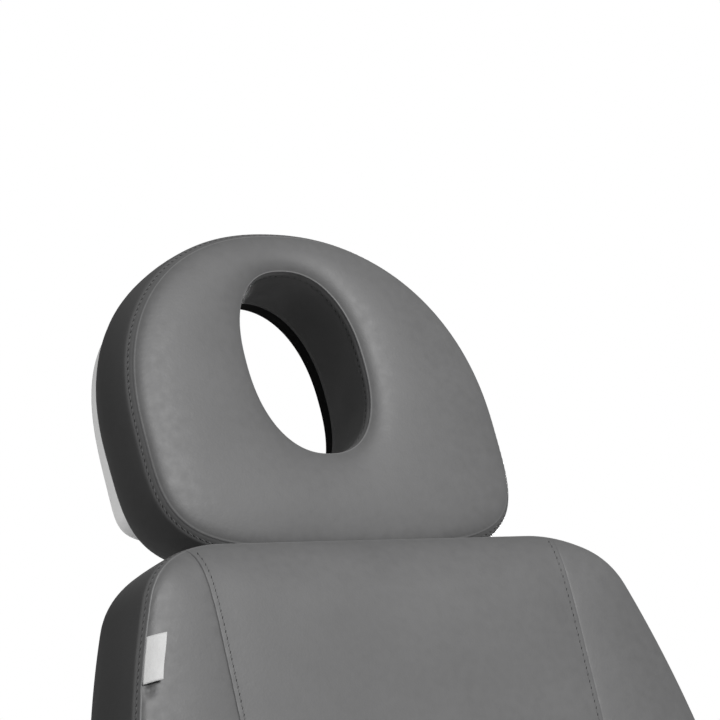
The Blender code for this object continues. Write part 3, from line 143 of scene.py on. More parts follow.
@dataclass(frozen=True)
class Place:
    """A local frame in the chair: its origin and the directions across, deep and up as rows."""

    origin: Array
    axes: Array

    @classmethod
    def on_board(cls, node: str, towards: Array) -> "Place":
        """Take the frame of a flat board.

        Args:
            node: The board's node in the solids.
            towards: Rough direction from the cushion to the board.

        Returns:
            A frame at the board's middle whose deep axis is the board's normal, across along X.
        """
        points = node_points(node)
        middle = (points.min(axis=0) + points.max(axis=0)) / 2
        spread = np.linalg.svd(points - points.mean(axis=0), full_matrices=False)[2]
        deep = spread[-1] * np.sign(spread[-1] @ towards)
        deep = deep - ACROSS * (deep @ ACROSS)
        deep /= np.linalg.norm(deep)
        return cls(middle, np.stack((ACROSS, deep, np.cross(ACROSS, deep))))

    def moved(self, across: float = 0.0, deep: float = 0.0, up: float = 0.0) -> "Place":
        """Return the same directions from an origin moved along them."""
        return Place(self.origin + np.array((across, deep, up)) @ self.axes, self.axes)

    def to_chair(self, points: Array) -> Array:
        """Turn local points (..., 3) into the chair's frame."""
        return points @ self.axes + self.origin

    def to_local(self, points: Array) -> Array:
        """Turn points (..., 3) of the chair's frame into local ones."""
        return (points - self.origin) @ self.axes.T

    def box(self, node: str) -> tuple[Array, Array]:
        """Return a node's lowest and highest corner in this frame."""
        points = self.to_local(node_points(node))
        return points.min(axis=0), points.max(axis=0)


def node_points(node: str) -> Array:
    """Return the vertices of a node of the solids as an (n, 3) array."""
    mesh = bpy.data.objects[node].data
    flat = np.empty(len(mesh.vertices) * 3, np.float32)
    mesh.vertices.foreach_get("co", flat)
    return flat.reshape(-1, 3).astype(float)


def solid_box(node: str) -> tuple[Array, Array, Array]:
    """Return the lowest corner, the highest corner and the middle of a node of the solids."""
    low, high = (np.array(corner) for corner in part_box(node))
    return low, high, (low + high) / 2


def unit(vectors: Array) -> Array:
    """Return vectors at length one."""
    return vectors / np.maximum(np.linalg.norm(vectors, axis=-1, keepdims=True), 1e-12)


def bell(gap: Array, reach: float) -> Array:
    """Return a bell curve of a distance: exp(-(d / reach)^2)."""
    return np.exp(-((gap / reach) ** 2))


def rolled(gap: Array) -> Array:
    """Return how near a place is to the rolled edge of a seam: 1 on the seam, falling like a bell."""
    return bell(gap, BEAD_REACH)


def pucker(height: float, phase: Array, gap: Array) -> Array:
    """Return the leather's small waves between stitches, which die out away from a seam."""
    return height * np.sin(phase) * np.exp(-gap / PUCKER_REACH) * np.clip(gap / PUCKER_START, 0, 1)


def at_depth(flat: Array, deep: Array) -> Array:
    """Return local points (..., 3) from flat ones (..., 2), which are across and up, and their depths."""
    return np.stack((flat[..., 0], np.broadcast_to(deep, flat.shape[:2]), flat[..., 1]), axis=-1)


def ring_normals(ring: Array) -> Array:
    """Return the outward normals of a closed flat ring of points."""
    ahead = np.roll(ring, -1, axis=0) - np.roll(ring, 1, axis=0)
    return unit(np.stack((ahead[:, 1], -ahead[:, 0]), axis=1))


def row_normals(grid: Array, column: int, facing: float = 1.0) -> Array:
    """Return the normals along a closed column of a grid, away from its middle, or towards it at -1."""
    line = grid[:, column]
    ahead = np.roll(line, -1, axis=0) - np.roll(line, 1, axis=0)
    normal = unit(np.cross(grid[:, column + 1] - grid[:, column - 1], ahead))
    return normal * facing * np.sign(((line - line.mean(axis=0)) * normal).sum(axis=1).mean())


def running_length(chain: Array) -> Array:
    """Return the length along a chain of points up to each point."""
    return np.concatenate(([0.0], np.cumsum(np.linalg.norm(np.diff(chain, axis=0), axis=1))))


def along(chain: Array, shares: Array) -> Array:
    """Return points on a chain at shares (0 to 1) of its length, straight between its points."""
    length = running_length(chain)
    at = shares * length[-1]
    return np.stack([np.interp(at, length, column) for column in chain.T], axis=1)


def arc(centre: tuple[float, float], radius: float, start: float, end: float, steps: int = 60) -> Array:
    """Return points on a circle's arc between two angles in degrees."""
    turn = np.radians(np.linspace(start, end, steps))
    return np.stack((centre[0] + radius * np.cos(turn), centre[1] + radius * np.sin(turn)), axis=1)


def graded(length: float, coarse: float) -> Array:
    """Return shares of a length with fine steps at both ends, as seams need, and coarse ones between."""
    near = SEAM_STEPS[SEAM_STEPS < length * 0.45]
    count = max(2, int(round((length - 2 * near[-1]) / coarse)))
    middle = np.linspace(near[-1], length - near[-1], count + 1)[1:-1]
    return np.concatenate((near, middle, (length - near)[::-1])) / length


def coons(bottom: Array, top: Array, left: Array, right: Array, across: Array, up: Array) -> Array:
    """Fill four border chains with a Coons patch.

    The patch is the sum of the two ruled surfaces between opposite borders, less the flat patch of the
    corners.

    Args:
        bottom, top: Chains from left to right.
        left, right: Chains from bottom to top.
        across, up: Shares of the columns and rows.

    Returns:
        A (rows, columns, 2) grid.
    """
    low, high = along(bottom, across)[None], along(top, across)[None]
    near, far = along(left, up)[:, None], along(right, up)[:, None]
    u, v = across[None, :, None], up[:, None, None]
    near_corners = (1 - u) * low[:, :1] + u * low[:, -1:]
    far_corners = (1 - u) * high[:, :1] + u * high[:, -1:]
    corners = (1 - v) * near_corners + v * far_corners
    return (1 - v) * low + v * high + (1 - u) * near + u * far - corners


def distance_to(chain: Array, points: Array) -> tuple[Array, Array]:
    """Measure flat points against a chain.

    Args:
        chain: (m, 2) points of the chain.
        points: (..., 2) points to measure.

    Returns:
        The distance to the nearest place on the chain, and that place's length along it.
    """
    start, step = chain[:-1], np.diff(chain, axis=0)
    size = np.maximum((step**2).sum(axis=1), 1e-18)
    length = running_length(chain)
    flat = points.reshape(-1, 2)
    gaps, places = [], []
    for part in np.array_split(flat, max(1, len(flat) // 4096)):
        offset = part[:, None] - start[None]
        share = np.clip((offset * step).sum(axis=2) / size, 0.0, 1.0)
        gap = np.linalg.norm(offset - share[..., None] * step, axis=2)
        best = gap.argmin(axis=1)
        rows = np.arange(len(part))
        gaps.append(gap[rows, best])
        places.append(length[best] + share[rows, best] * np.sqrt(size[best]))
    shape = points.shape[:-1]
    return np.concatenate(gaps).reshape(shape), np.concatenate(places).reshape(shape)


def sample(grid: Array, rows: Array, columns: Array) -> Array:
    """Read a grid (r, c, 3) between its points: straight interpolation at fractional rows and columns."""
    low_row = np.minimum(rows.astype(int), grid.shape[0] - 2)
    low_column = np.minimum(columns.astype(int), grid.shape[1] - 2)
    v = (rows - low_row)[:, None, None]
    u = (columns - low_column)[None, :, None]
    near = grid[low_row][:, low_column] * (1 - u) + grid[low_row][:, low_column + 1] * u
    far = grid[low_row + 1][:, low_column] * (1 - u) + grid[low_row + 1][:, low_column + 1] * u
    return near * (1 - v) + far * v


def numbered(grid: Array) -> Array:
    """Return the vertex numbers of a grid of points, in the grid's shape."""
    return np.arange(grid[..., 0].size).reshape(grid.shape[:-1])


def quads(index: Array) -> list[list[int]]:
    """Return the four-sided faces of a grid of vertex numbers."""
    corners = (index[:-1, :-1], index[:-1, 1:], index[1:, 1:], index[1:, :-1])
    return np.stack(corners, axis=-1).reshape(-1, 4).tolist()


def wrapped(index: Array, rows: bool = False, columns: bool = False) -> Array:
    """Repeat the first row or column of a grid at its end, so that it closes."""
    if rows:
        index = np.concatenate((index, index[:1]), axis=0)
    if columns:
        index = np.concatenate((index, index[:, :1]), axis=1)
    return index


def new_object(name: str, points: Array, faces: list[list[int]]) -> Piece:
    """Make an object at the origin from points in the chair's frame, turned outwards and shaded smooth."""
    mesh = bpy.data.meshes.new(name)
    mesh.from_pydata(points.reshape(-1, 3), [], faces)
    work = bmesh.new()
    work.from_mesh(mesh)
    bmesh.ops.recalc_face_normals(work, faces=work.faces)
    work.to_mesh(mesh)
    work.free()
    mesh.shade_smooth()
    piece = bpy.data.objects.new(name, mesh)
    bpy.context.scene.collection.objects.link(piece)
    return piece


def closed_ring(name: str, place: Place, profile: Array) -> Piece:
    """Make an object of closed profiles (places, profile, 3) in local points, carried round a ring."""
    faces = quads(wrapped(numbered(profile), rows=True, columns=True))
    return new_object(name, place.to_chair(profile), faces)


def set_attribute(piece: Piece, name: str, values: Array) -> None:
    """Store one number per vertex on a piece, for its material."""
    layer = piece.data.attributes.new(name, "FLOAT", "POINT")
    layer.data.foreach_set("value", values.astype(np.float32).ravel())


def inflate(points: Array, faces: list[list[int]], held: Array, pressure: float, cap: float) -> Array:
    """Blow up a sewn cover with Blender's cloth simulation.

    Args:
        points: (n, 3) points of the closed cover.
        faces: Its faces.
        held: Numbers of the points that seams and boards hold still.
        pressure: Air pressure in the simulation.
        cap: The furthest that a point may move.

    Returns:
        The (n, 3) movement of the points, shortened to the cap.
    """
    scene = bpy.context.scene
    cover = new_object("cover_in_work", points, faces)
    cover.vertex_groups.new(name="held").add(held.tolist(), 1.0, "REPLACE")
    cloth = cover.modifiers.new("cloth", "CLOTH")
    for setting, value in CLOTH.items():
        setattr(cloth.settings, setting, value)
    cloth.settings.uniform_pressure_force = pressure
    cloth.settings.effector_weights.gravity = 0.0
    cloth.point_cache.frame_start, cloth.point_cache.frame_end = 1, SIM_FRAMES
    for number in range(1, SIM_FRAMES + 1):
        scene.frame_set(number)
    graph = bpy.context.evaluated_depsgraph_get()
    blown = cover.evaluated_get(graph).data
    flat = np.empty(len(points) * 3, np.float32)
    blown.vertices.foreach_get("co", flat)
    scene.frame_set(1)
    bpy.data.objects.remove(cover, do_unlink=True)
    move = flat.reshape(-1, 3) - points
    size = np.linalg.norm(move, axis=1, keepdims=True)
    return move * np.minimum(1.0, cap / np.maximum(size, 1e-9))


def smoothed(move: Array, held: Array, closed: bool = False) -> Array:
    """Even out a grid of movements, as taut leather does: a place takes half of its neighbours' mean.

    Args:
        move: (rows, columns, 3) movements.
        held: (rows, columns) truths, where a seam or a board holds the place still.
        closed: Whether the last row borders on the first.

    Returns:
        The even movements.
    """
    free = ~held[..., None]
    for _ in range(SMOOTH_PASSES):
        tall = np.pad(move, ((1, 1), (0, 0), (0, 0)), mode="wrap" if closed else "edge")
        wide = np.pad(move, ((0, 0), (1, 1), (0, 0)), mode="edge")
        around = tall[:-2] + tall[2:] + wide[:, :-2] + wide[:, 2:]
        move = (move / 2 + around / 8) * free
    return move


def swell(gap: Array, height: float, reach: float) -> Array:
    """Return the crown of a stuffed panel at a distance from its seam.

    It is height * (1 - exp(-d / reach)), and a second one of the same form for the tight roll at the seam.
    """
    return height * (1 - np.exp(-gap / reach)) + EDGE_ROLL * (1 - np.exp(-gap / EDGE_ROLL_REACH))


@dataclass(frozen=True)
class Leather:
    """Smooth grey upholstery leather: faint pores and creases, painted shade at seams and hollows, a painted
    highlight on seam edges.
    """

    name: str = "grey_leather"
    colour: Triple = (0.181, 0.181, 0.182)
    roughness: float = 0.43

    def material(self) -> bpy.types.Material:
        """Build the node material."""
        shader = Nodes.start(self.name)
        cloudy = shader.noise(9.0, detail=3.0)
        mottled = shader.noise(120.0, detail=4.0)
        tint = shader.tinted(shader.plain(self.colour), cloudy, 0.3, 0.7, 0.93, 1.05)
        tint = shader.tinted(tint, mottled, 0.3, 0.7, 0.965, 1.03)
        # painted shade: the colour darkens to 0.40 where seam grooves, stitch rows, the face hole and the
        # dimple lie in shade
        tint = shader.tinted(tint, shader.attribute("painted_shade"), 0.0, 1.0, 1.0, 0.40)
        # painted highlight: the colour lightens by a quarter along the rolled edges of the seams
        tint = shader.tinted(tint, shader.attribute("painted_edge_highlight"), 0.0, 1.0, 1.0, 1.25)
        shader.link(tint, "Base Color")
        shader.uneven(mottled, 0.25, 0.75, self.roughness, 0.05, 0.07)
        pores = shader.voronoi(620.0)
        folds = shader.noise(260.0, detail=3.0)
        shader.bump(shader.add(shader.scaled(pores, 0.5), shader.scaled(folds, 0.8)), 0.16, 0.0006)
        shader.set("Specular IOR Level", 0.36)
        shader.set("Sheen Weight", 0.04)
        shader.set("Sheen Roughness", 0.5)
        return shader.material


@dataclass(frozen=True)
class Coating:
    """Paint or moulded plastic: even colour, slight orange peel or grain, dust in the roughness."""

    name: str
    colour: Triple
    roughness: float
    peel_scale: float
    peel_depth: float
    specular: float = 0.5
    ior: float = 1.5

    def material(self) -> bpy.types.Material:
        """Build the node material."""
        shader = Nodes.start(self.name)
        cloudy = shader.noise(7.0, detail=4.0)
        grain = shader.noise(self.peel_scale, detail=2.0)
        shader.link(shader.tinted(shader.plain(self.colour), cloudy, 0.3, 0.7, 0.96, 1.02), "Base Color")
        shader.uneven(cloudy, 0.3, 0.7, self.roughness, 0.05, 0.06)
        shader.bump(grain, 0.25, self.peel_depth)
        shader.set("Specular IOR Level", self.specular)
        shader.set("IOR", self.ior)
        return shader.material


@dataclass(frozen=True)
class Metal:
    """Brushed or drawn metal: fine streaks along one axis in roughness and height."""

    name: str
    colour: Triple
    roughness: float
    streaks: Triple

    def material(self) -> bpy.types.Material:
        """Build the node material."""
        shader = Nodes.start(self.name)
        streak = shader.noise(1.0, detail=4.0, stretch=self.streaks)
        stain = shader.noise(14.0, detail=3.0)
        shader.link(shader.tinted(shader.plain(self.colour), stain, 0.3, 0.7, 0.92, 1.03), "Base Color")
        shader.uneven(streak, 0.25, 0.75, self.roughness, 0.08, 0.1)
        shader.bump(streak, 0.12, 0.0002)
        shader.set("Metallic", 1.0)
        return shader.material


@dataclass(frozen=True)
class Plywood:
    """Dark stained plywood: thin layers along the thickness, with a faint grain."""

    name: str = "stained_plywood"
    colour: Triple = (0.012, 0.012, 0.012)

    def material(self) -> bpy.types.Material:
        """Build the node material."""
        shader = Nodes.start(self.name)
        grain = shader.noise(1.0, detail=5.0, stretch=(30.0, 260.0, 260.0))
        shader.link(shader.tinted(shader.plain(self.colour), grain, 0.3, 0.7, 0.7, 1.35), "Base Color")
        shader.link(shader.spread(grain, 0.3, 0.7, 0.62, 0.8), "Roughness")
        shader.bump(grain, 0.3, 0.0003)
        shader.set("Specular IOR Level", 0.06)
        return shader.material


@dataclass(frozen=True)
class Thread:
    """Twisted polyester sewing thread."""

    name: str = "sewing_thread"
    colour: Triple = (0.20, 0.20, 0.201)

    def material(self) -> bpy.types.Material:
        """Build the node material."""
        shader = Nodes.start(self.name)
        twist = shader.wave(900.0)
        shader.link(shader.tinted(shader.plain(self.colour), twist, 0.0, 1.0, 0.75, 1.15), "Base Color")
        shader.bump(twist, 0.4, 0.0003)
        shader.set("Roughness", 0.6)
        shader.set("Specular IOR Level", 0.2)
        shader.set("Sheen Weight", 0.1)
        return shader.material


@dataclass(frozen=True)
class WovenTape:
    """White satin ribbon: fine weft ribs across the tape, read from its UV map."""

    name: str = "woven_tape"
    colour: Triple = (0.95, 0.95, 0.945)

    def material(self) -> bpy.types.Material:
        """Build the node material."""
        shader = Nodes.start(self.name, coordinates="UV")
        ribs = shader.wave(60.0)
        soil = shader.noise(6.0, detail=4.0)
        tint = shader.tinted(shader.plain(self.colour), soil, 0.3, 0.7, 0.96, 1.02)
        shader.link(shader.tinted(tint, ribs, 0.0, 1.0, 0.93, 1.02), "Base Color")
        shader.bump(ribs, 0.3, 0.0002)
        shader.set("Roughness", 0.6)
        shader.set("Sheen Weight", 0.25)
        return shader.material


@dataclass
class Nodes:
    """A material being wired: its node tree, its Principled shader and what its patterns read."""

    material: bpy.types.Material
    tree: bpy.types.NodeTree
    shader: bpy.types.Node
    where: Socket

    @classmethod
    def start(cls, name: str, coordinates: str = "Object") -> "Nodes":
        """Make an empty Principled material whose patterns read one kind of coordinates."""
        material = bpy.data.materials.new(name)
        material.use_nodes = True
        tree = material.node_tree
        texture = tree.nodes.new("ShaderNodeTexCoord")
        return cls(material, tree, tree.nodes["Principled BSDF"], texture.outputs[coordinates])

    def set(self, socket: str, value: float | tuple[float, ...]) -> None:
        """Set a constant on the shader."""
        self.shader.inputs[socket].default_value = value

    def link(self, output: Socket, socket: str) -> None:
        """Wire an output to the shader."""
        self.tree.links.new(output, self.shader.inputs[socket])

    def node(self, kind: str, **settings: object) -> bpy.types.Node:
        """Add a node of a kind, with properties set by name."""
        made = self.tree.nodes.new(f"ShaderNode{kind}")
        for key, value in settings.items():
            setattr(made, key, value)
        return made

    def noise(
        self, scale: float, detail: float, stretch: Triple | None = None
    ) -> Socket:
        """Return fractal noise at a scale per metre, stretched where asked."""
        made = self.node("TexNoise")
        made.inputs["Scale"].default_value = scale
        made.inputs["Detail"].default_value = detail
        source = self.where
        if stretch:
            mapping = self.node("Mapping")
            mapping.inputs["Scale"].default_value = stretch
            self.tree.links.new(source, mapping.inputs["Vector"])
            source = mapping.outputs["Vector"]
        self.tree.links.new(source, made.inputs["Vector"])
        return made.outputs["Fac"]

    def voronoi(self, scale: float) -> Socket:
        """Return rounded cells at a scale per metre."""
        made = self.node("TexVoronoi", feature="SMOOTH_F1")
        made.inputs["Scale"].default_value = scale
        self.tree.links.new(self.where, made.inputs["Vector"])
        return made.outputs["Distance"]

    def wave(self, scale: float) -> Socket:
        """Return diagonal bands at a scale."""
        made = self.node("TexWave", bands_direction="DIAGONAL")
        made.inputs["Scale"].default_value = scale
        self.tree.links.new(self.where, made.inputs["Vector"])
        return made.outputs["Fac"]

    def attribute(self, name: str) -> Socket:
        """Return a number stored on the piece."""
        return self.node("Attribute", attribute_name=name).outputs["Fac"]

    def plain(self, colour: Triple) -> Socket:
        """Return one colour."""
        made = self.node("RGB")
        made.outputs[0].default_value = (*colour, 1.0)
        return made.outputs[0]

    def spread(
        self, value: Socket, low: float, high: float, to_low: float, to_high: float
    ) -> Socket:
        """Map a number from one range to another."""
        made = self.node("MapRange")
        sockets = ("From Min", "From Max", "To Min", "To Max")
        for socket, number in zip(sockets, (low, high, to_low, to_high)):
            made.inputs[socket].default_value = number
        self.tree.links.new(value, made.inputs["Value"])
        return made.outputs["Result"]

    def scaled(self, value: Socket, factor: float) -> Socket:
        """Multiply a number."""
        made = self.node("Math", operation="MULTIPLY")
        self.tree.links.new(value, made.inputs[0])
        made.inputs[1].default_value = factor
        return made.outputs[0]

    def add(self, first: Socket, second: Socket) -> Socket:
        """Add two numbers."""
        made = self.node("Math", operation="ADD")
        self.tree.links.new(first, made.inputs[0])
        self.tree.links.new(second, made.inputs[1])
        return made.outputs[0]

    def tinted(
        self, colour: Socket, pattern: Socket, low: float, high: float, to_low: float, to_high: float
    ) -> Socket:
        """Multiply a colour by a pattern, mapped from one range to another."""
        made = self.node("Mix", data_type="RGBA", blend_type="MULTIPLY")
        made.inputs["Factor"].default_value = 1.0
        self.tree.links.new(self.spread(pattern, low, high, to_low, to_high), made.inputs["A"])
        self.tree.links.new(colour, made.inputs["B"])
        return made.outputs["Result"]

    def uneven(
        self, pattern: Socket, low: float, high: float, middle: float, below: float, above: float
    ) -> None:
        """Let the roughness follow a pattern, from a little below to a little above a middle value."""
        self.link(self.spread(pattern, low, high, middle - below, middle + above), "Roughness")

    def bump(self, height: Socket, strength: float, distance: float) -> None:
        """Raise the surface by a height pattern."""
        made = self.node("Bump")
        made.inputs["Strength"].default_value = strength
        made.inputs["Distance"].default_value = distance
        self.tree.links.new(height, made.inputs["Height"])
        self.link(made.outputs["Normal"], "Normal")


@dataclass
class Workshop:
    """The finishes by slot, made once, and the way pieces are dressed and set on their bodies."""

    finishes: dict[Finish, bpy.types.Material] = field(default_factory=dict)

    def prepare(self) -> None:
        """Make every finish."""
        looks = {
            Finish.LEATHER: Leather(),
            Finish.WHITE_PAINT: Coating("white_powder_coat", (0.80, 0.80, 0.79), 0.42, 900.0, 0.0006),
            Finish.WHITE_PLASTIC: Coating("white_moulding", (0.86, 0.86, 0.855), 0.36, 1500.0, 0.0003),
            Finish.PLYWOOD: Plywood(),
            Finish.BLACK_PLASTIC: Coating("black_moulding", (0.022, 0.022, 0.023), 0.55, 2200.0, 0.0005),
            Finish.GREY_PLASTIC: Coating("grey_moulding", (0.21, 0.21, 0.22), 0.50, 2200.0, 0.0004),
            Finish.STEEL: Metal("drawn_steel", (0.60, 0.60, 0.60), 0.26, (60.0, 900.0, 900.0)),
            Finish.ALUMINIUM: Metal("milled_aluminium", (0.70, 0.70, 0.70), 0.34, (900.0, 60.0, 900.0)),
            Finish.RUBBER: Coating("foot_rubber", (0.018, 0.018, 0.018), 0.85, 1400.0, 0.0008, 0.3),
            Finish.THREAD: Thread(),
            # painted shadow: dark discs that stand for the needle holes
            Finish.NEEDLE_HOLES: Coating("needle_hole", (0.045, 0.045, 0.045), 0.9, 2000.0, 0.0002, 0.1),
            Finish.TAPE: WovenTape(),
        }
        self.finishes = {finish: look.material() for finish, look in looks.items()}

    def dress(
        self, piece: Piece, finish: Finish, body: str, *nodes: str, slot: Finish | None = None
    ) -> None:
        """Give a piece its finish and its body, and let it stand for solid nodes."""
        piece.data.materials.clear()
        piece.data.materials.append(self.finishes[finish])
        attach(piece, body)
        if nodes:
            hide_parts(*nodes)
        LOG.info("piece %s on %s: %d faces", piece.name, body, len(piece.data.polygons))

    def dress_solids(self, frame: dict) -> None:
        """Give each node of the solids the finish of its slot."""
        for part in frame["record"]["subparts"]:
            mesh = frame["nodes"][part["node"]].data
            mesh.materials.clear()
            mesh.materials.append(self.finishes[Finish(part["material_slot"])])

    def stitch(self, name: str, path: Array, normals: Array, closed: bool, body: str) -> None:
        """Sew a row of stitches on a body and dress its threads and the painted shadows of its needle holes.
        """
        threads, hole_shadows = stitch_row(name, path, normals, closed)
        self.dress(threads, Finish.THREAD, body, slot=Finish.LEATHER)
        self.dress(hole_shadows, Finish.NEEDLE_HOLES, body, slot=Finish.LEATHER)

    def white_pieces(self) -> list[Piece]:
        """Return the pieces and nodes in white paint or plastic."""
        white = [self.finishes[finish] for finish in (Finish.WHITE_PAINT, Finish.WHITE_PLASTIC)]
        meshes = [piece for piece in bpy.data.objects if piece.type == "MESH"]
        return [piece for piece in meshes if piece.active_material in white]


def stitch_row(
    name: str, path: Array, normals: Array, closed: bool
) -> tuple[Piece, Piece]:
    """Sew a row of stitches along a path.

    Each stitch is a short round thread, thickest in its middle, that rises out of the leather and dips into
    it at both ends; a flat dark slot between each two, where the thread goes in, is the needle hole's
    painted shadow.

    Args:
        name: Name of the row.
        path: (n, 3) dense points on the leather.
        normals: (n, 3) directions out of the leather.
        closed: Whether the path runs back to its start.

    Returns:
        The threads and the needle holes' painted shadows.
    """
    total = running_length(path)[-1]
    count = int(total / STITCH_PITCH)
    shares = (np.arange(count) + 0.5) / count
    shares = shares if closed else 0.01 + 0.98 * shares
    middle = along(path, shares)
    out = unit(along(np.concatenate((path, normals), axis=1), shares)[:, 3:])
    step = 0.2 * STITCH_PITCH / total
    forward = unit(along(path, np.clip(shares + step, 0, 1)) - along(path, np.clip(shares - step, 0, 1)))
    slant = unit(forward + STITCH_SLANT * unit(np.cross(forward, out)))
    around = np.cross(slant, out)
    station = np.array((-1.0, -0.72, 0.0, 0.72, 1.0))
    thick = np.array((0.45, 0.95, 1.0, 0.95, 0.45)) * THREAD_RADIUS
    rise = THREAD_RADIUS * (-0.25 - 0.75 * station**4)
    turn = np.arange(6) * np.pi / 3
    cosine, sine = np.cos(turn)[:, None], np.sin(turn)[:, None]
    spine = middle[:, None] + slant[:, None] * station[None, :, None] * STITCH_LENGTH / 2
    spine = spine + out[:, None] * rise[None, :, None]
    ring = around[:, None, None] * cosine + out[:, None, None] * sine
    points = spine[:, :, None] + ring * thick[None, :, None, None]
    index = numbered(points)
    faces = [face for one in index for face in quads(wrapped(one, columns=True))]
    faces += index[:, 0].tolist() + index[:, -1].tolist()
    threads = new_object(f"{name}_thread", points, faces)
    # flat dark discs between the stitches: painted shadow of the needle holes
    between = middle + forward * total / count / 2 + out * THREAD_RADIUS * 0.2
    disc = slant[:, None] * cosine * SLOT_SIZE[0] + around[:, None] * sine * SLOT_SIZE[1]
    rim = between[:, None] + disc
    hole_shadows = new_object(f"{name}_holes", rim, np.arange(count * len(turn)).reshape(-1, len(turn)).tolist())
    return threads, hole_shadows


@dataclass
class WallProfile:
    """Cross-section of a cushion's gusset: how far it stands out of the seam's outline at each depth.

    It leaves the seam at 45 degrees, as a sewn-down edge does, until it meets an arch: a parabola that
    stands out by lip at the seam's depth and by lip + belly at belly_at. The offset is the smooth least of
    the two. The stitch row draws it in a little, and over the last stretch, the roll, it turns in by a
    quarter of an ellipse. The lip, the belly, the roll and what it draws in may be columns of numbers, one
    for each place round the cushion.
    """

    depth: float
    lip: float | Array = 0.0036
    belly: float | Array = 0.0040
    belly_at: float = 0.042
    roll: float | Array = 0.040
    draw_in: float | Array = 0.0075
    stitch_at: float = 0.0030

    def offset(self, deep: Array) -> Array:
        """Return how far the gusset stands out of the seam's outline at given depths."""
        arch = self.lip + self.belly * (1 - (deep / self.belly_at - 1) ** 2)
        out = -EDGE_BLEND * np.log(np.exp(-deep / EDGE_BLEND) + np.exp(-arch / EDGE_BLEND))
        pull = STITCH_PULL * bell(deep - self.stitch_at, STITCH_PULL_REACH)
        into = np.clip((deep - self.depth + self.roll) / self.roll, 0.0, 1.0)
        drawn = self.draw_in * (1 - np.sqrt(1 - into**2 * 0.9999))
        return out + BEAD_HEIGHT * rolled(deep) - pull - drawn

    def depths(self, coarse: float) -> Array:
        """Return depths from the seam to the rear edge, fine near the seam, the stitches and the roll."""
        longest = min(float(np.max(self.roll)), self.depth - WALL_STEPS[-1] - coarse)
        roll = self.depth - longest * (1 - np.sin(np.linspace(0, np.pi / 2, 13)))
        count = max(2, int((roll[0] - WALL_STEPS[-1]) / coarse))
        return np.concatenate((WALL_STEPS, np.linspace(WALL_STEPS[-1], roll[0], count + 1)[1:-1], roll))

    def painted_shade(self, deep: Array) -> Array:
        """Return how much the leather is shaded along the stitch row."""
        # painted shade along the stitch row, where the thread draws the leather in
        return STITCH_SHADE * bell(deep - self.stitch_at, STITCH_SHADE_REACH)


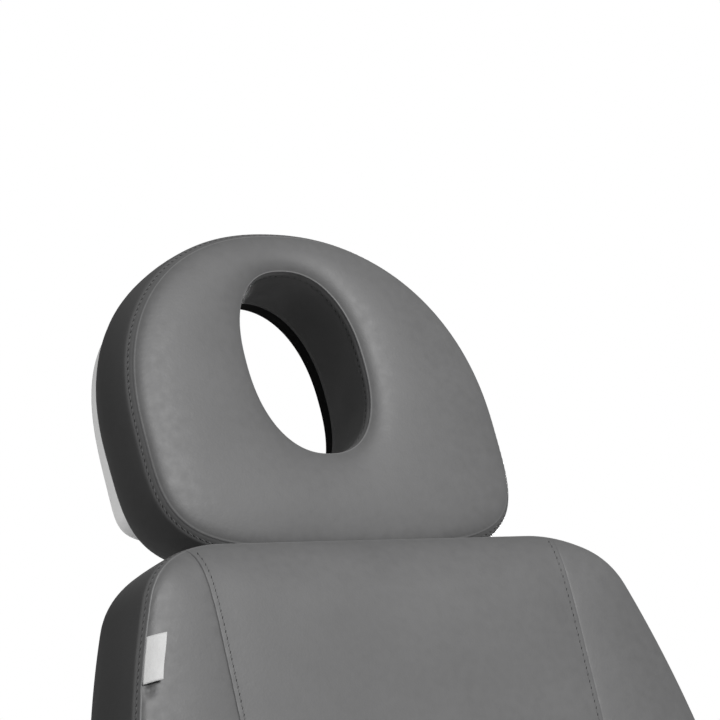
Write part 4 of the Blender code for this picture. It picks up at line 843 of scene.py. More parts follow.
@dataclass
class PanelCushion:
    """A box cushion: a crowned front of one or three panels, a gusset and a flat back on its board.

    The front is a row of Coons patches between panel seams. Its crown is height * (1 - exp(-d / reach)) with
    d the distance to the edge seam, and each panel seam sinks it by dip * exp(-d / dip_reach) and leaves a
    step up to the folded side. Where the edge faces up, the front rolls back by
    top_sink * exp(-d / sink_reach), and the gusset's lip and belly are smaller by the share top_tuck. A
    dimple is its place across and up, its radius and its depth.
    """

    name: str
    node: str
    body: str
    place: Place
    borders: list[tuple[Array, Array, Array, Array]]
    panel_seams: list[Array]
    wall: WallProfile
    crown: float = 0.0030
    crown_reach: float = 0.0120
    dip: float = 0.0004
    dip_reach: float = 0.0050
    coarse: float = 0.0045
    sim_cell: float = 0.009
    pressure: float = 4.0
    cap: float = 0.0015
    fill: float = 0.75
    stitch_inset: float = 0.0054
    seam_step: float = 0.0008
    seam_step_reach: float = 0.008
    top_sink: float = 0.0
    sink_reach: float = 0.013
    top_tuck: float = 0.0
    top_power: int = 5
    seam_groove: float = 0.0003
    groove_reach: float = 0.0005
    seam_ends: float = 0.006
    seam_margin: float = 0.0001
    seam_shade: float = 0.6
    seam_shade_reach: float = 0.0004
    seam_pucker: float = 0.00015
    edge_pucker: float = 0.0003
    dimples: list[tuple[float, float, float, float]] = field(default_factory=list)

    def shares(self, cell: float | None) -> tuple[list[Array], Array]:
        """Return the columns' shares of each panel and the rows' shares, even at a cell size or graded."""
        heights = [running_length(border[2])[-1] for border in self.borders]
        widths = [max(running_length(chain)[-1] for chain in border[:2]) for border in self.borders]
        if cell:
            columns = [np.linspace(0, 1, max(4, int(width / cell)) + 1) for width in widths]
            return columns, np.linspace(0, 1, int(max(heights) / cell) + 1)
        return [graded(width, self.coarse) for width in widths], graded(max(heights), self.coarse)

    def front(self, columns: list[Array], rows: Array) -> Array:
        """Return the flat front grid (rows, columns, 2) of all panels side by side."""
        grids = [coons(*border, across, rows) for border, across in zip(self.borders, columns)]
        return np.concatenate([grids[0], *[grid[:, 1:] for grid in grids[1:]]], axis=1)

    @staticmethod
    def loop(grid: Array) -> Array:
        """Return a grid's border in order: along the bottom, up the right, along the top, down the left."""
        return np.concatenate((grid[0, :-1], grid[:-1, -1], grid[-1, :0:-1], grid[:0:-1, 0]))

    def outline(self) -> Array:
        """Return the closed edge seam as a dense chain."""
        bottom = np.concatenate([border[0] for border in self.borders])
        top = np.concatenate([border[1] for border in self.borders])
        return np.concatenate((bottom, self.borders[-1][3], top[::-1], self.borders[0][2][::-1]))

    def relief(self, flat: Array, gap: Array, place: Array) -> tuple[Array, Array]:
        """Shape the front.

        Args:
            flat: (r, c, 2) places on the front.
            gap: Their distances to the edge seam.
            place: The lengths along the edge seam where they are nearest.

        Returns:
            How far each place rises and how much it is shaded.
        """
        raised = swell(gap, self.crown, self.crown_reach) + BEAD_HEIGHT * rolled(gap)
        painted_shade = np.zeros_like(gap)
        ends = np.clip(gap / self.seam_ends, 0, 1)
        for seam in self.panel_seams:
            near, at = distance_to(along(seam, np.linspace(0, 1, SEAM_POINTS)), flat)
            groove = self.seam_groove * np.exp(-near / self.groove_reach)
            raised -= ends * (self.dip * np.exp(-near / self.dip_reach) + groove)
            seam_across = np.interp(flat[..., 1], seam[:, 1], np.abs(seam[:, 0]))
            inner = np.abs(flat[..., 0]) < seam_across - self.seam_margin
            raised += ends * inner * self.seam_step * np.exp(-near / self.seam_step_reach)
            waves = np.sin(2 * np.pi * at / STITCH_PITCH)
            raised += ends * self.seam_pucker * waves * np.exp(-near / PUCKER_REACH)
            # painted shade: the leather darkens close to the panel seam, in its groove
            painted_shade = np.maximum(painted_shade, self.seam_shade * np.exp(-near / self.seam_shade_reach))
        raised += pucker(self.edge_pucker, 2 * np.pi * place / STITCH_PITCH, gap)
        for across, up, radius, depth in self.dimples:
            press = np.exp(-((flat[..., 0] - across) ** 2 + (flat[..., 1] - up) ** 2) / radius**2)
            raised -= depth * press
            # painted shade in the dimple below the tag, darkest at its middle
            painted_shade = np.maximum(painted_shade, press)
        return raised, painted_shade

    def surface(self, cell: float | None) -> tuple[Array, Array, Array, Array, Array]:
        """Lay out the cover.

        Args:
            cell: Size of even cells, or None for the graded grid of the finished cover.

        Returns:
            The front (r, c, 3) and the gusset (loop, depths, 3) in local points, the gusset's depths, and
            the front's painted shade and painted edge highlight.
        """
        flat = self.front(*self.shares(cell))
        edge = along(self.outline(), np.linspace(0, 1, OUTLINE_POINTS))
        gap, place = distance_to(edge, flat)
        raised, painted_shade = self.relief(flat, gap, place)
        facing = np.clip(-unit(np.gradient(edge, axis=0))[:, 0], 0.0, 1.0)
        upward = np.interp(place, running_length(edge), facing)
        sunk = self.top_sink * upward**self.top_power
        front = at_depth(flat, sunk * np.exp(-gap / self.sink_reach) - raised)
        ring, start = self.loop(flat), self.loop(sunk)[:, None]
        depths = self.wall.depths(WALL_CELL)
        if cell:
            depths = np.linspace(0, self.wall.depth, int(self.wall.depth / cell) + 1)
        tuck = self.loop(upward)[:, None]
        lip = self.wall.lip * (1 - self.top_tuck * tuck**self.top_power)
        belly = self.wall.belly * (1 - self.top_tuck * tuck**2)
        wall = replace(self.wall, lip=lip, belly=belly)
        side = ring[:, None] + ring_normals(ring)[:, None] * wall.offset(depths)[..., None]
        gusset = at_depth(side, start + depths * (1 - start / self.wall.depth))
        return front, gusset, depths, painted_shade, rolled(gap)

    def faces(self, front: Array, gusset: Array) -> tuple[Array, list[list[int]], Array, Array]:
        """Weld the front, the gusset and a flat back.

        Args:
            front: Front grid of points.
            gusset: Gusset grid of points, whose first column is the front's border.

        Returns:
            All points, the faces, and the vertex numbers of the front and of the gusset.
        """
        index = np.arange(front[..., 0].size).reshape(front.shape[:2])
        ring = self.loop(index)
        behind = index.size + np.arange(gusset[:, 1:, 0].size).reshape(len(gusset), -1)
        side = np.concatenate((ring[:, None], behind), axis=1)
        faces = quads(index) + quads(wrapped(side, rows=True)) + [side[:, -1].tolist()]
        return np.concatenate((front.reshape(-1, 3), gusset[:, 1:].reshape(-1, 3))), faces, index, side

    def puff(self) -> tuple[Array, Array]:
        """Blow up a coarse cover with its seams and back held; return how its front and gusset move."""
        front, gusset, *_ = self.surface(self.sim_cell)
        points, faces, index, side = self.faces(front, gusset)
        columns, _ = self.shares(self.sim_cell)
        seams = np.cumsum([len(share) - 1 for share in columns])[:-1]
        held = np.unique(np.concatenate((side[:, 0], side[:, -1], side[:, -2], index[:, seams].ravel())))
        move = inflate(points, faces, held, self.pressure, self.cap)
        still = np.zeros(len(points), bool)
        still[held] = True
        return smoothed(move[index], still[index]), smoothed(move[side], still[side], closed=True)

    def swelling(self, depths: Array) -> tuple[Array, Array]:
        """Return the coarse cover's movement, read at the places of the fine front and gusset."""
        front_move, side_move = self.puff()
        columns, rows = self.shares(None)
        counts = [len(share) - 1 for share in self.shares(self.sim_cell)[0]]
        starts = np.concatenate(([0], np.cumsum(counts)))
        places = [start + share * count for start, share, count in zip(starts, columns, counts)]
        across = np.concatenate([places[0], *[place[1:] for place in places[1:]]])
        height, width = front_move.shape[0] - 1, front_move.shape[1] - 1
        up = rows * height
        over_top = width + height + (width - across[:0:-1])
        down_left = 2 * width + 2 * height - up[:0:-1]
        round_at = np.concatenate((across[:-1], width + up[:-1], over_top, down_left))
        deep_at = depths / depths[-1] * (side_move.shape[1] - 1)
        return sample(front_move, up, across), sample(wrapped(side_move, rows=True), round_at, deep_at)

    def build(self, shop: Workshop) -> Piece:
        """Make the leather cover and its stitches and dress them."""
        front, gusset, depths, painted_shade, edge = self.surface(None)
        front_move, side_move = self.swelling(depths)
        front, gusset = front + front_move, gusset + side_move
        points, faces, _, side = self.faces(front, gusset)
        cover = new_object(f"{self.name}_leather", self.place.to_chair(points), faces)
        # marks of painted shade and painted edge highlight, stored for the leather's colour
        marks = {"painted_shade": (painted_shade, self.wall.painted_shade(depths)), "painted_edge_highlight": (edge, rolled(depths))}
        for name, (on_front, on_wall) in marks.items():
            values = np.empty(len(points))
            values[: on_front.size] = on_front.ravel()
            values[side[:, 1:].ravel()] = np.broadcast_to(on_wall[1:], side[:, 1:].shape).ravel()
            set_attribute(cover, name, values)
        shop.dress(cover, Finish.LEATHER, self.body, self.node)
        self.sew(shop, front, gusset, depths)
        return cover

    def sew(self, shop: Workshop, front: Array, gusset: Array, depths: Array) -> None:
        """Sew the topstitch rows: one on the gusset behind the edge seam, one beside each panel seam."""
        column = int(np.abs(depths - self.wall.stitch_at).argmin())
        normal = wrapped(row_normals(gusset, column), rows=True)
        rows = [("edge", wrapped(gusset[:, column], rows=True), normal, True)]
        starts = np.cumsum([len(share) - 1 for share in self.shares(None)[0]])
        level = front[front.shape[0] // 2, :, 0]
        inside = front[3:-3]
        for number, start in enumerate(starts[:-1]):
            inner = 1 if number == 0 else -1
            at = int(np.abs(level - level[start] - inner * self.stitch_inset).argmin())
            line, across = inside[:, at], inside[:, at + 1] - inside[:, at - 1]
            normal = unit(np.cross(across, np.gradient(line, axis=0)))
            rows.append((f"panel_{number}", line, normal, False))
        for name, path, normal, closed in rows:
            out = normal @ self.place.axes
            shop.stitch(f"{self.name}_{name}", self.place.to_chair(path), out, closed, self.body)


def rounded_borders(width: float, length: float, corner: float, seams: float | None) -> tuple[list, list]:
    """Split a rounded rectangle about its middle into one panel, or three with seams across at +-seams.

    Returns:
        The panels' border chains (bottom, top, left, right) and the panel seams' chains.
    """
    x, y = width / 2, length / 2
    cx, cy = x - corner, y - corner
    right = np.concatenate((arc((cx, -cy), corner, -45, 0), arc((cx, cy), corner, 0, 45)))
    left = right * (-1, 1)
    bottom = np.concatenate((arc((-cx, -cy), corner, -135, -90), arc((cx, -cy), corner, -90, -45)))
    top = bottom * (1, -1)
    if seams is None:
        return [(bottom, top, left, right)], []
    seam = np.array(((seams, -y), (seams, y)))
    middle = np.array(((-seams, -y), (seams, -y)))
    foot = np.concatenate(((seam[:1]), arc((cx, -cy), corner, -90, -45)))
    outer = (foot, foot * (1, -1), seam, right)
    mirror = (foot[::-1] * (-1, 1), foot[::-1] * (-1, -1), left, seam * (-1, 1))
    return [mirror, (middle, middle * (1, -1), seam * (-1, 1), seam), outer], [seam * (-1, 1), seam]


@dataclass
class BackOutline:
    """The backrest's edge seam: foot corners, long side arcs, tight shoulders, a curved top."""

    foot: float
    top: float
    half_width: float = 0.314
    foot_half_width: float = 0.285
    foot_radius: float = 0.050
    widest_below_top: float = 0.387
    side_radius: float = 0.90
    shoulder_radius: float = 0.076
    top_radius: float = 0.115
    top_flat: float = 0.161
    seams_at: tuple[float, float] = (0.1906, 0.1844)
    seam_spreads: tuple[float, float] = (0.0080, 0.0010)
    seam_bend: float = 0.0145
    corner_points: int = 28

    def right_side(self) -> tuple[Array, Array, Array]:
        """Return the foot arc, the side up to the shoulder and the top arc from there to the flat top.

        The shoulder arc touches the side arc and the top arc from inside, so its middle is where two
        circles meet.
        """
        widest = self.top - self.widest_below_top
        side = np.array((self.half_width - self.side_radius, widest))
        crest = np.array((self.top_flat, self.top - self.top_radius))
        far, near = self.side_radius - self.shoulder_radius, self.top_radius - self.shoulder_radius
        between = crest - side
        size = np.linalg.norm(between)
        reach = (far**2 - near**2 + size**2) / (2 * size)
        step = between / size
        middle = side + step * reach + np.array((-step[1], step[0])) * math.sqrt(far**2 - reach**2)
        lean = math.degrees(math.atan2(*(middle - side)[::-1]))
        crown = math.degrees(math.atan2(*(middle - crest)[::-1]))
        foot_middle = (self.foot_half_width - self.foot_radius, self.foot + self.foot_radius)
        foot = arc(foot_middle, self.foot_radius, -90, 0)
        shoulder = arc(tuple(middle), self.shoulder_radius, lean, crown)
        flank = np.concatenate((arc(tuple(side), self.side_radius, 0, lean), shoulder))
        return foot, flank, arc(tuple(crest), self.top_radius, crown, 90)

    def half_panels(self, seam_at: float, spread: float) -> tuple[Array, Array, Array, Array, Array]:
        """Return the +X chains: panel seam, side panel's bottom, top and side, half of the middle's top.

        Args:
            seam_at: How far the panel seam lies from the middle.
            spread: How far it bends outwards before it meets the edge seam.
        """
        foot, flank, crest = self.right_side()
        half = len(foot) // 2
        end_x = seam_at + spread
        end_y = np.interp(-end_x, -crest[:, 0], crest[:, 1])
        up = self.foot + (end_y - self.foot) * np.linspace(0, 1, 200)
        seam = np.stack((seam_at + spread * np.exp((up - end_y) / self.seam_bend), up), axis=1)
        beyond, within = crest[crest[:, 0] > end_x], crest[crest[:, 0] <= end_x]
        top = np.concatenate((seam[-1:], beyond[::-1], flank[: -self.corner_points - 2 : -1]))
        side = np.concatenate((foot[half:], flank[: -self.corner_points]))
        bottom = np.concatenate((seam[:1], foot[: half + 1]))
        return seam, bottom, top, side, np.concatenate((seam[-1:], within))

    def panels(self) -> tuple[list, list]:
        """Return the border chains of the three panels and the two panel seams."""
        flip = (-1, 1)
        seam, bottom, top, side, crest = self.half_panels(self.seams_at[1], self.seam_spreads[1])
        outer = (bottom, top, seam, side)
        far_seam, far_bottom, far_top, far_side, far_crest = self.half_panels(
            self.seams_at[0], self.seam_spreads[0]
        )
        far_seam = far_seam * flip
        mirror = (far_bottom[::-1] * flip, far_top[::-1] * flip, far_side * flip, far_seam)
        top_middle = np.concatenate((far_crest * flip, crest[::-1]))
        bottom_middle = np.stack((far_seam[0], seam[0]))
        return [mirror, (bottom_middle, top_middle, far_seam, seam), outer], [far_seam, seam]


@dataclass
class HeadrestCushion:
    """The headrest's ring-shaped cushion with the face hole.

    The outline is a superellipse whose upper and lower halves have their own heights and powers, and so is
    the hole. The cover is a closed ring of profiles: hole wall, crowned front between the two seams, outer
    gusset, flat back.
    """

    place: Place
    half_width: float
    rise: float
    drop: float
    depth: float
    widest: float
    hole_middle: float = 0.035
    hole_half_width: float = 0.063
    hole_half_height: float = 0.089
    hole_flare: float = 0.075
    top_power: float = 2.2
    foot_power: float = 4.2
    hole_power: float = 2.3
    crown: float = 0.0056
    crown_reach: float = 0.0180
    rim_reach: float = 0.0100
    hole_stitch_at: float = 0.0060
    hole_lip: float = 0.0030
    hole_lip_slope: float = 0.5
    hole_lip_fade: float = 0.030
    hole_fold: float = 0.0007
    hole_shade: float = 0.95
    lip: float = 0.0042
    belly: float = 0.0054
    belly_at: float = 0.040
    stitch_at: float = 0.0040
    roll: float = 0.036
    roll_lean: float = 0.070
    draw_in: float = 0.022
    draw_lean: float = 0.060
    edge_pucker: float = 0.0002
    puckers: int = 170
    fold_count: int = 7
    fold_lean: float = 40.0
    front_width: float = 0.09
    coarse: float = 0.0042
    hole_cell: float = 0.004
    hole_rows: int = 12
    around: int = 560
    sim_around: int = 130
    sim_cell: float = 0.009
    pressure: float = 4.0
    cap: float = 0.0012
    body: str = "headrest"
    node: str = "headrest_cushion"

    @staticmethod
    def oval(
        half_width: float, rise: float, drop: float, middle: float, powers: tuple[float, float]
    ) -> Array:
        """Return a closed superellipse from its lowest point round to it again, as a dense chain.

        x = half_width * |cos t|^(2/p), y = height * |sin t|^(2/p), with height and power of the half of t.
        """
        turn = np.linspace(-np.pi / 2, 1.5 * np.pi, 6001)
        across, up = np.cos(turn), np.sin(turn)
        power = np.where(up >= 0, powers[0], powers[1])
        height = np.where(up >= 0, rise, drop)
        x = half_width * np.sign(across) * np.abs(across) ** (2 / power)
        return np.stack((x, middle + height * np.sign(up) * np.abs(up) ** (2 / power)), axis=1)

    def rims(self, count: int) -> tuple[Array, Array, Array, Array]:
        """Return the outer seam, its outward normals, the hole seam and its normals away from the hole."""
        shares = np.arange(count) / count
        powers = (self.top_power, self.foot_power)
        outer = along(self.oval(self.half_width, self.rise, self.drop, self.widest, powers), shares)
        height = self.hole_half_height
        powers = (self.hole_power, self.hole_power)
        hole = along(self.oval(self.hole_half_width, height, height, self.hole_middle, powers), shares)
        return outer, ring_normals(outer), hole, ring_normals(hole)

    def wall(self, up: Array) -> WallProfile:
        """Return the gusset's cross-section at given heights: it rolls in further towards the foot."""
        roll, draw_in = self.roll - self.roll_lean * up, self.draw_in - self.draw_lean * up
        return WallProfile(self.depth, self.lip, self.belly, self.belly_at, roll, draw_in, self.stitch_at)

    def hole_offset(self, turn: Array, deep: Array) -> Array:
        """Return how far the hole's wall stands back from its seam at turns (n, 1) and depths (m)."""
        pull = STITCH_PULL * bell(deep - self.hole_stitch_at, STITCH_PULL_REACH)
        beyond = np.maximum(deep - self.hole_lip, 0.0)
        lip = np.exp(-self.hole_lip_slope * deep / EDGE_BLEND) + np.exp(-self.hole_lip / EDGE_BLEND)
        lip = -EDGE_BLEND * np.log(lip) * np.exp(-beyond / self.hole_lip_fade)
        flare = self.hole_flare * beyond - lip + pull - BEAD_HEIGHT * rolled(deep)
        waves = np.sin(self.fold_count * turn + self.fold_lean * deep)
        return flare + self.hole_fold * waves * np.sin(np.pi * deep / self.depth)

    def hole_painted_shade(self, up: Array, deep: Array) -> Array:
        """Return how much the hole's wall is shaded at heights (n, 1) and depths (m): most at its top."""
        height = (up - self.hole_middle) / self.hole_half_height
        beyond = np.maximum(deep - self.hole_lip, 0.0)
        # painted shade deep in the face hole, darker further in and towards its top
        shade = self.hole_shade * (1 - np.exp(-beyond / self.hole_lip_fade)) * (0.6 + 0.4 * height)
        return shade + STITCH_SHADE * bell(deep - self.hole_stitch_at, STITCH_SHADE_REACH)

    def ring(
        self, count: int, front: Array, depths: Array, hole_depths: Array
    ) -> tuple[Array, Array, Array]:
        """Lay out the ring.

        A profile runs forward along the hole's wall, over the crowned front and back along the gusset. The
        front rises by crown * (1 - exp(-d / reach)) from each of its two seams.

        Args:
            count: Number of profiles.
            front: Shares of the way from the hole's seam to the edge seam.
            depths, hole_depths: Depths of the gusset and of the hole's wall.

        Returns:
            The profiles (count, profile, 3) in local points, their painted shade and their painted edge
            highlight.
        """
        outer, outward, hole, inward = self.rims(count)
        side = self.wall(outer[:, 1:])
        width = np.linalg.norm(outer - hole, axis=1)[:, None]
        to_hole, to_edge = width * front, width * (1 - front)
        flat = hole[:, None] + (outer - hole)[:, None] * front[None, :, None]
        near_seam = np.maximum(rolled(to_edge), rolled(to_hole))
        raised = swell(to_edge, self.crown, self.crown_reach) * (1 - np.exp(-to_hole / self.rim_reach))
        raised += BEAD_HEIGHT * near_seam
        turn = 2 * np.pi * np.arange(count)[:, None] / count
        raised += pucker(self.edge_pucker, turn * self.puckers, to_edge)
        deep = depths[1:]
        gusset = at_depth(outer[:, None] + outward[:, None] * side.offset(deep)[..., None], deep)
        offset = self.hole_offset(turn, hole_depths)
        wall = at_depth(hole[:, None] + inward[:, None] * offset[..., None], hole_depths)
        rows = np.ones((count, 1))
        shade = self.hole_painted_shade(hole[:, 1:], hole_depths)[:, :0:-1]
        profile = (wall[:, :0:-1], at_depth(flat, -raised), gusset)
        # painted shade on the hole's wall and beside the stitch rows, painted highlight along both seams'
        # rolled edges
        painted_shade = (shade, np.zeros((count, len(front))), rows * side.painted_shade(deep))
        edge = (rows * rolled(hole_depths)[:0:-1], near_seam, rows * rolled(deep))
        return tuple(np.concatenate(values, axis=1) for values in (profile, painted_shade, edge))

    def build(self, shop: Workshop) -> None:
        """Make the ring of leather and its two stitch rows and dress them."""
        side = self.wall(self.rims(self.around)[0][:, 1:])
        depths = side.depths(WALL_CELL)
        inner = np.linspace(WALL_STEPS[-1] + self.hole_cell, self.depth, self.hole_rows)
        hole_depths = np.concatenate((WALL_STEPS, inner))
        front = graded(self.front_width, self.coarse)
        profile, painted_shade, edge = self.ring(self.around, front, depths, hole_depths)
        profile = profile + self.puff(front, depths, hole_depths)
        cover = closed_ring("headrest_leather", self.place, profile)
        # painted shade and painted edge highlight, stored for the leather's colour
        set_attribute(cover, "painted_shade", painted_shade)
        set_attribute(cover, "painted_edge_highlight", edge)
        shop.dress(cover, Finish.LEATHER, self.body, self.node)
        first_front = len(hole_depths) - 1
        edge_column = first_front + len(front) - 1 + int(np.abs(depths - side.stitch_at).argmin())
        hole_column = first_front - int(np.abs(hole_depths - self.hole_stitch_at).argmin())
        for name, column, facing in (("edge", edge_column, 1.0), ("hole", hole_column, -1.0)):
            path = self.place.to_chair(wrapped(profile[:, column], rows=True))
            normals = wrapped(row_normals(profile, column, facing), rows=True) @ self.place.axes
            shop.stitch(f"headrest_{name}", path, normals, True, self.body)

    def puff(self, front: Array, depths: Array, hole_depths: Array) -> Array:
        """Blow up a coarse ring, seams and back held; return its movement at the fine ring's places."""
        deep_steps, front_steps = (int(length / self.sim_cell) for length in (self.depth, self.front_width))
        even_deep = np.linspace(0, 1, deep_steps + 1) * self.depth
        even_front = np.linspace(0, 1, front_steps + 1)
        ring, *_ = self.ring(self.sim_around, even_front, even_deep, even_deep)
        index = numbered(ring)
        faces = quads(wrapped(index, rows=True, columns=True))
        edge_at = deep_steps + front_steps
        last = edge_at + deep_steps
        seams = [0, deep_steps, edge_at, last - 1, last]
        held = index[:, seams].ravel()
        move = inflate(ring.reshape(-1, 3), faces, held, self.pressure, self.cap)[index]
        still = np.zeros(index.shape, bool)
        still[:, seams] = True
        move = smoothed(move, still, closed=True)
        on_wall = deep_steps * (1 - hole_depths[:0:-1] / self.depth)
        on_gusset = edge_at + depths[1:] / self.depth * deep_steps
        at = np.concatenate((on_wall, deep_steps + front * front_steps, on_gusset))
        return sample(wrapped(move, rows=True), np.arange(self.around) / self.around * self.sim_around, at)


@dataclass
class HeadrestBack:
    """The headrest's hard parts behind the leather: the plywood ring and the white shell over it.

    Both are rings between the face hole and the outline, drawn as a closed profile that is carried round:
    its points lie off the hole's edge or off the outline, or straight between the two.
    """

    cushion: HeadrestCushion
    board: tuple[Array, Array]
    shell: tuple[Array, Array]
    board_hole: float = 0.007
    board_foot_power: float = 3.2
    board_edge: float = 0.0010
    shell_hole: tuple[float, float] = (0.023, 0.021)
    shell_side_trim: float = 0.0099
    shell_top_power: float = 2.6
    shell_foot_power: float = 6.8
    shell_rim: float = 0.0010
    shell_edge: float = 0.0060
    collar_edge: float = 0.0030
    collar_start: float = 0.006
    least_edge: float = 0.0004
    wall: float = 0.0025
    crown: float = 0.0015
    body: str = "headrest"

    def outline(
        self, half_width: float, low: float, high: float, powers: tuple[float, float]
    ) -> tuple[Array, Array]:
        """Return a ring of the outline through given sides, foot and top, and its outward normals."""
        middle = self.cushion.widest
        return self.ring(HeadrestCushion.oval(half_width, high - middle, middle - low, middle, powers))

    def hole(self, side: float, rise: float) -> tuple[Array, Array]:
        """Return a ring of the hole's edge, widened, and its normals away from the hole."""
        head = self.cushion
        height = head.hole_half_height + rise
        powers = (head.hole_power, head.hole_power)
        chain = HeadrestCushion.oval(head.hole_half_width + side, height, height, head.hole_middle, powers)
        return self.ring(chain)

    def ring(self, chain: Array) -> tuple[Array, Array]:
        """Return evenly spaced points of a closed chain and their outward normals."""
        count = self.cushion.around // 2
        points = along(chain, np.arange(count) / count)
        return points, ring_normals(points)

    @staticmethod
    def loops(edge: tuple[Array, Array], inset: Array, deep: Array) -> Array:
        """Return loops round an edge, each moved in by an inset and at a depth, as (places, loops, 3)."""
        return at_depth(edge[0][:, None] - edge[1][:, None] * inset[None, :, None], deep)

    @staticmethod
    def between(first: Array, last: Array, rise: float) -> Array:
        """Return loops between two loops, straight across but for a sine arch of a given rise in depth."""
        share = np.linspace(0, 1, 9)[1:-1]
        rows = first[:, None] + (last - first)[:, None] * share[None, :, None]
        rows[..., 1] += rise * np.sin(np.pi * share)
        return rows

    def build_board(self) -> Piece:
        """Make the plywood ring: a rectangle with slightly rounded corners carried round."""
        low, high = self.board
        rim = self.outline(high[0], low[2], high[2], (self.cushion.top_power, self.board_foot_power))
        hole = self.hole(self.board_hole, self.board_hole)
        turn = np.linspace(0, np.pi / 2, 4)
        inset = self.board_edge * (1 - np.sin(turn))
        back = self.board_edge * (1 - np.cos(turn))
        inset = np.concatenate((inset, inset[::-1]))
        deep = np.concatenate((low[1] + back, high[1] - back[::-1]))
        outer, inner = self.loops(rim, inset, deep), self.loops(hole, -inset[::-1], deep[::-1])
        return closed_ring("headrest_plywood", self.cushion.place, np.concatenate((outer, inner), axis=1))

    def build_shell(self) -> Piece:
        """Make the shell: outer wall, rounded edge, domed back, collar at the hole, and the same inside."""
        low, high = self.shell
        front, collar_front, back = self.board[0][1] + self.shell_rim, low[1], high[1]
        powers = (self.shell_top_power, self.shell_foot_power)
        rim = self.outline(high[0] - self.shell_side_trim, low[2], high[2], powers)
        hole = self.hole(*self.shell_hole)
        turn = np.linspace(0, np.pi / 2, 8)
        straight = np.linspace(front, back - self.shell_edge, 4)[:-1]
        profiles = []
        for thick in (0.0, self.wall):
            radius, collar = self.shell_edge - thick, max(self.collar_edge - thick, self.least_edge)
            inset = np.concatenate((np.full(3, thick), thick + radius * (1 - np.cos(turn))))
            deep = np.concatenate((straight, back - self.shell_edge + radius * np.sin(turn)))
            outer = self.loops(rim, inset, deep)
            inset = -np.concatenate((thick + collar * (1 - np.sin(turn)), np.full(2, thick)))
            straight_collar = np.linspace(back - self.collar_start, collar_front, 2)
            deep = np.concatenate((back - thick - collar * (1 - np.cos(turn)), straight_collar))
            inner = self.loops(hole, inset, deep)
            middle = self.between(outer[:, -1], inner[:, 0], self.crown)
            profiles.append(np.concatenate((outer, middle, inner), axis=1))
        profile = np.concatenate((profiles[0], profiles[1][:, ::-1]), axis=1)
        return closed_ring("headrest_shell", self.cushion.place, profile)

    def build(self, shop: Workshop) -> None:
        """Make and dress both rings."""
        shop.dress(self.build_board(), Finish.PLYWOOD, self.body, "headrest_board")
        shop.dress(self.build_shell(), Finish.WHITE_PLASTIC, self.body, "headrest_cover")


@dataclass
class SewnTag:
    """A blank ribbon tag sewn into the backrest's edge seam on the -X side, standing off the leather."""

    place: Place
    top: float = 0.6804
    low: float = 0.6394
    inset: float = -0.0008
    top_reach: tuple[float, float] = (0.0171, 0.0055)
    low_reach: tuple[float, float] = (0.0163, 0.0075)
    tip_rise: float = 0.0019
    curl: float = 0.0012
    flutter: float = 0.0006
    thickness: float = 0.0006

    def build(self, shop: Workshop, surface: Piece, side: Array) -> None:
        """Make the ribbon: straight from the seam to its free edge, bowed a little away from the leather.

        Args:
            shop: The finishes.
            surface: The leather cover that it lies on; not used.
            side: Chain of the edge seam on that side, from its foot upwards.
        """
        down, reach = np.linspace(0, 1, 21)[:, None], np.linspace(0, 1, 15)[None, :]
        level = self.top + (self.low - self.top) * down
        root = np.interp(level, side[:, 1], side[:, 0]) - self.inset
        across = self.top_reach[0] + (self.low_reach[0] - self.top_reach[0]) * down
        lift = self.top_reach[1] + (self.low_reach[1] - self.top_reach[1]) * down
        bow = self.curl * np.sin(np.pi * reach)
        deep = -BEAD_HEIGHT - lift * reach - bow - self.flutter * np.sin(2 * np.pi * down) * reach
        level = level + self.tip_rise * reach
        points = np.stack(np.broadcast_arrays(root + across * reach, deep, level), axis=-1)
        tag = new_object("back_tag", self.place.to_chair(points), quads(numbered(points)))
        layer = tag.data.uv_layers.new(name="tape")
        corners = np.empty(len(tag.data.loops), np.int32)
        tag.data.loops.foreach_get("vertex_index", corners)
        uv = np.stack(np.broadcast_arrays(reach * 0.5, down), axis=-1).reshape(-1, 2)[corners]
        layer.data.foreach_set("uv", uv.astype(np.float32).ravel())
        thick = tag.modifiers.new("fold", "SOLIDIFY")
        thick.thickness = self.thickness
        thick.offset = 0.0
        shop.dress(tag, Finish.TAPE, "backrest", slot=Finish.LEATHER)


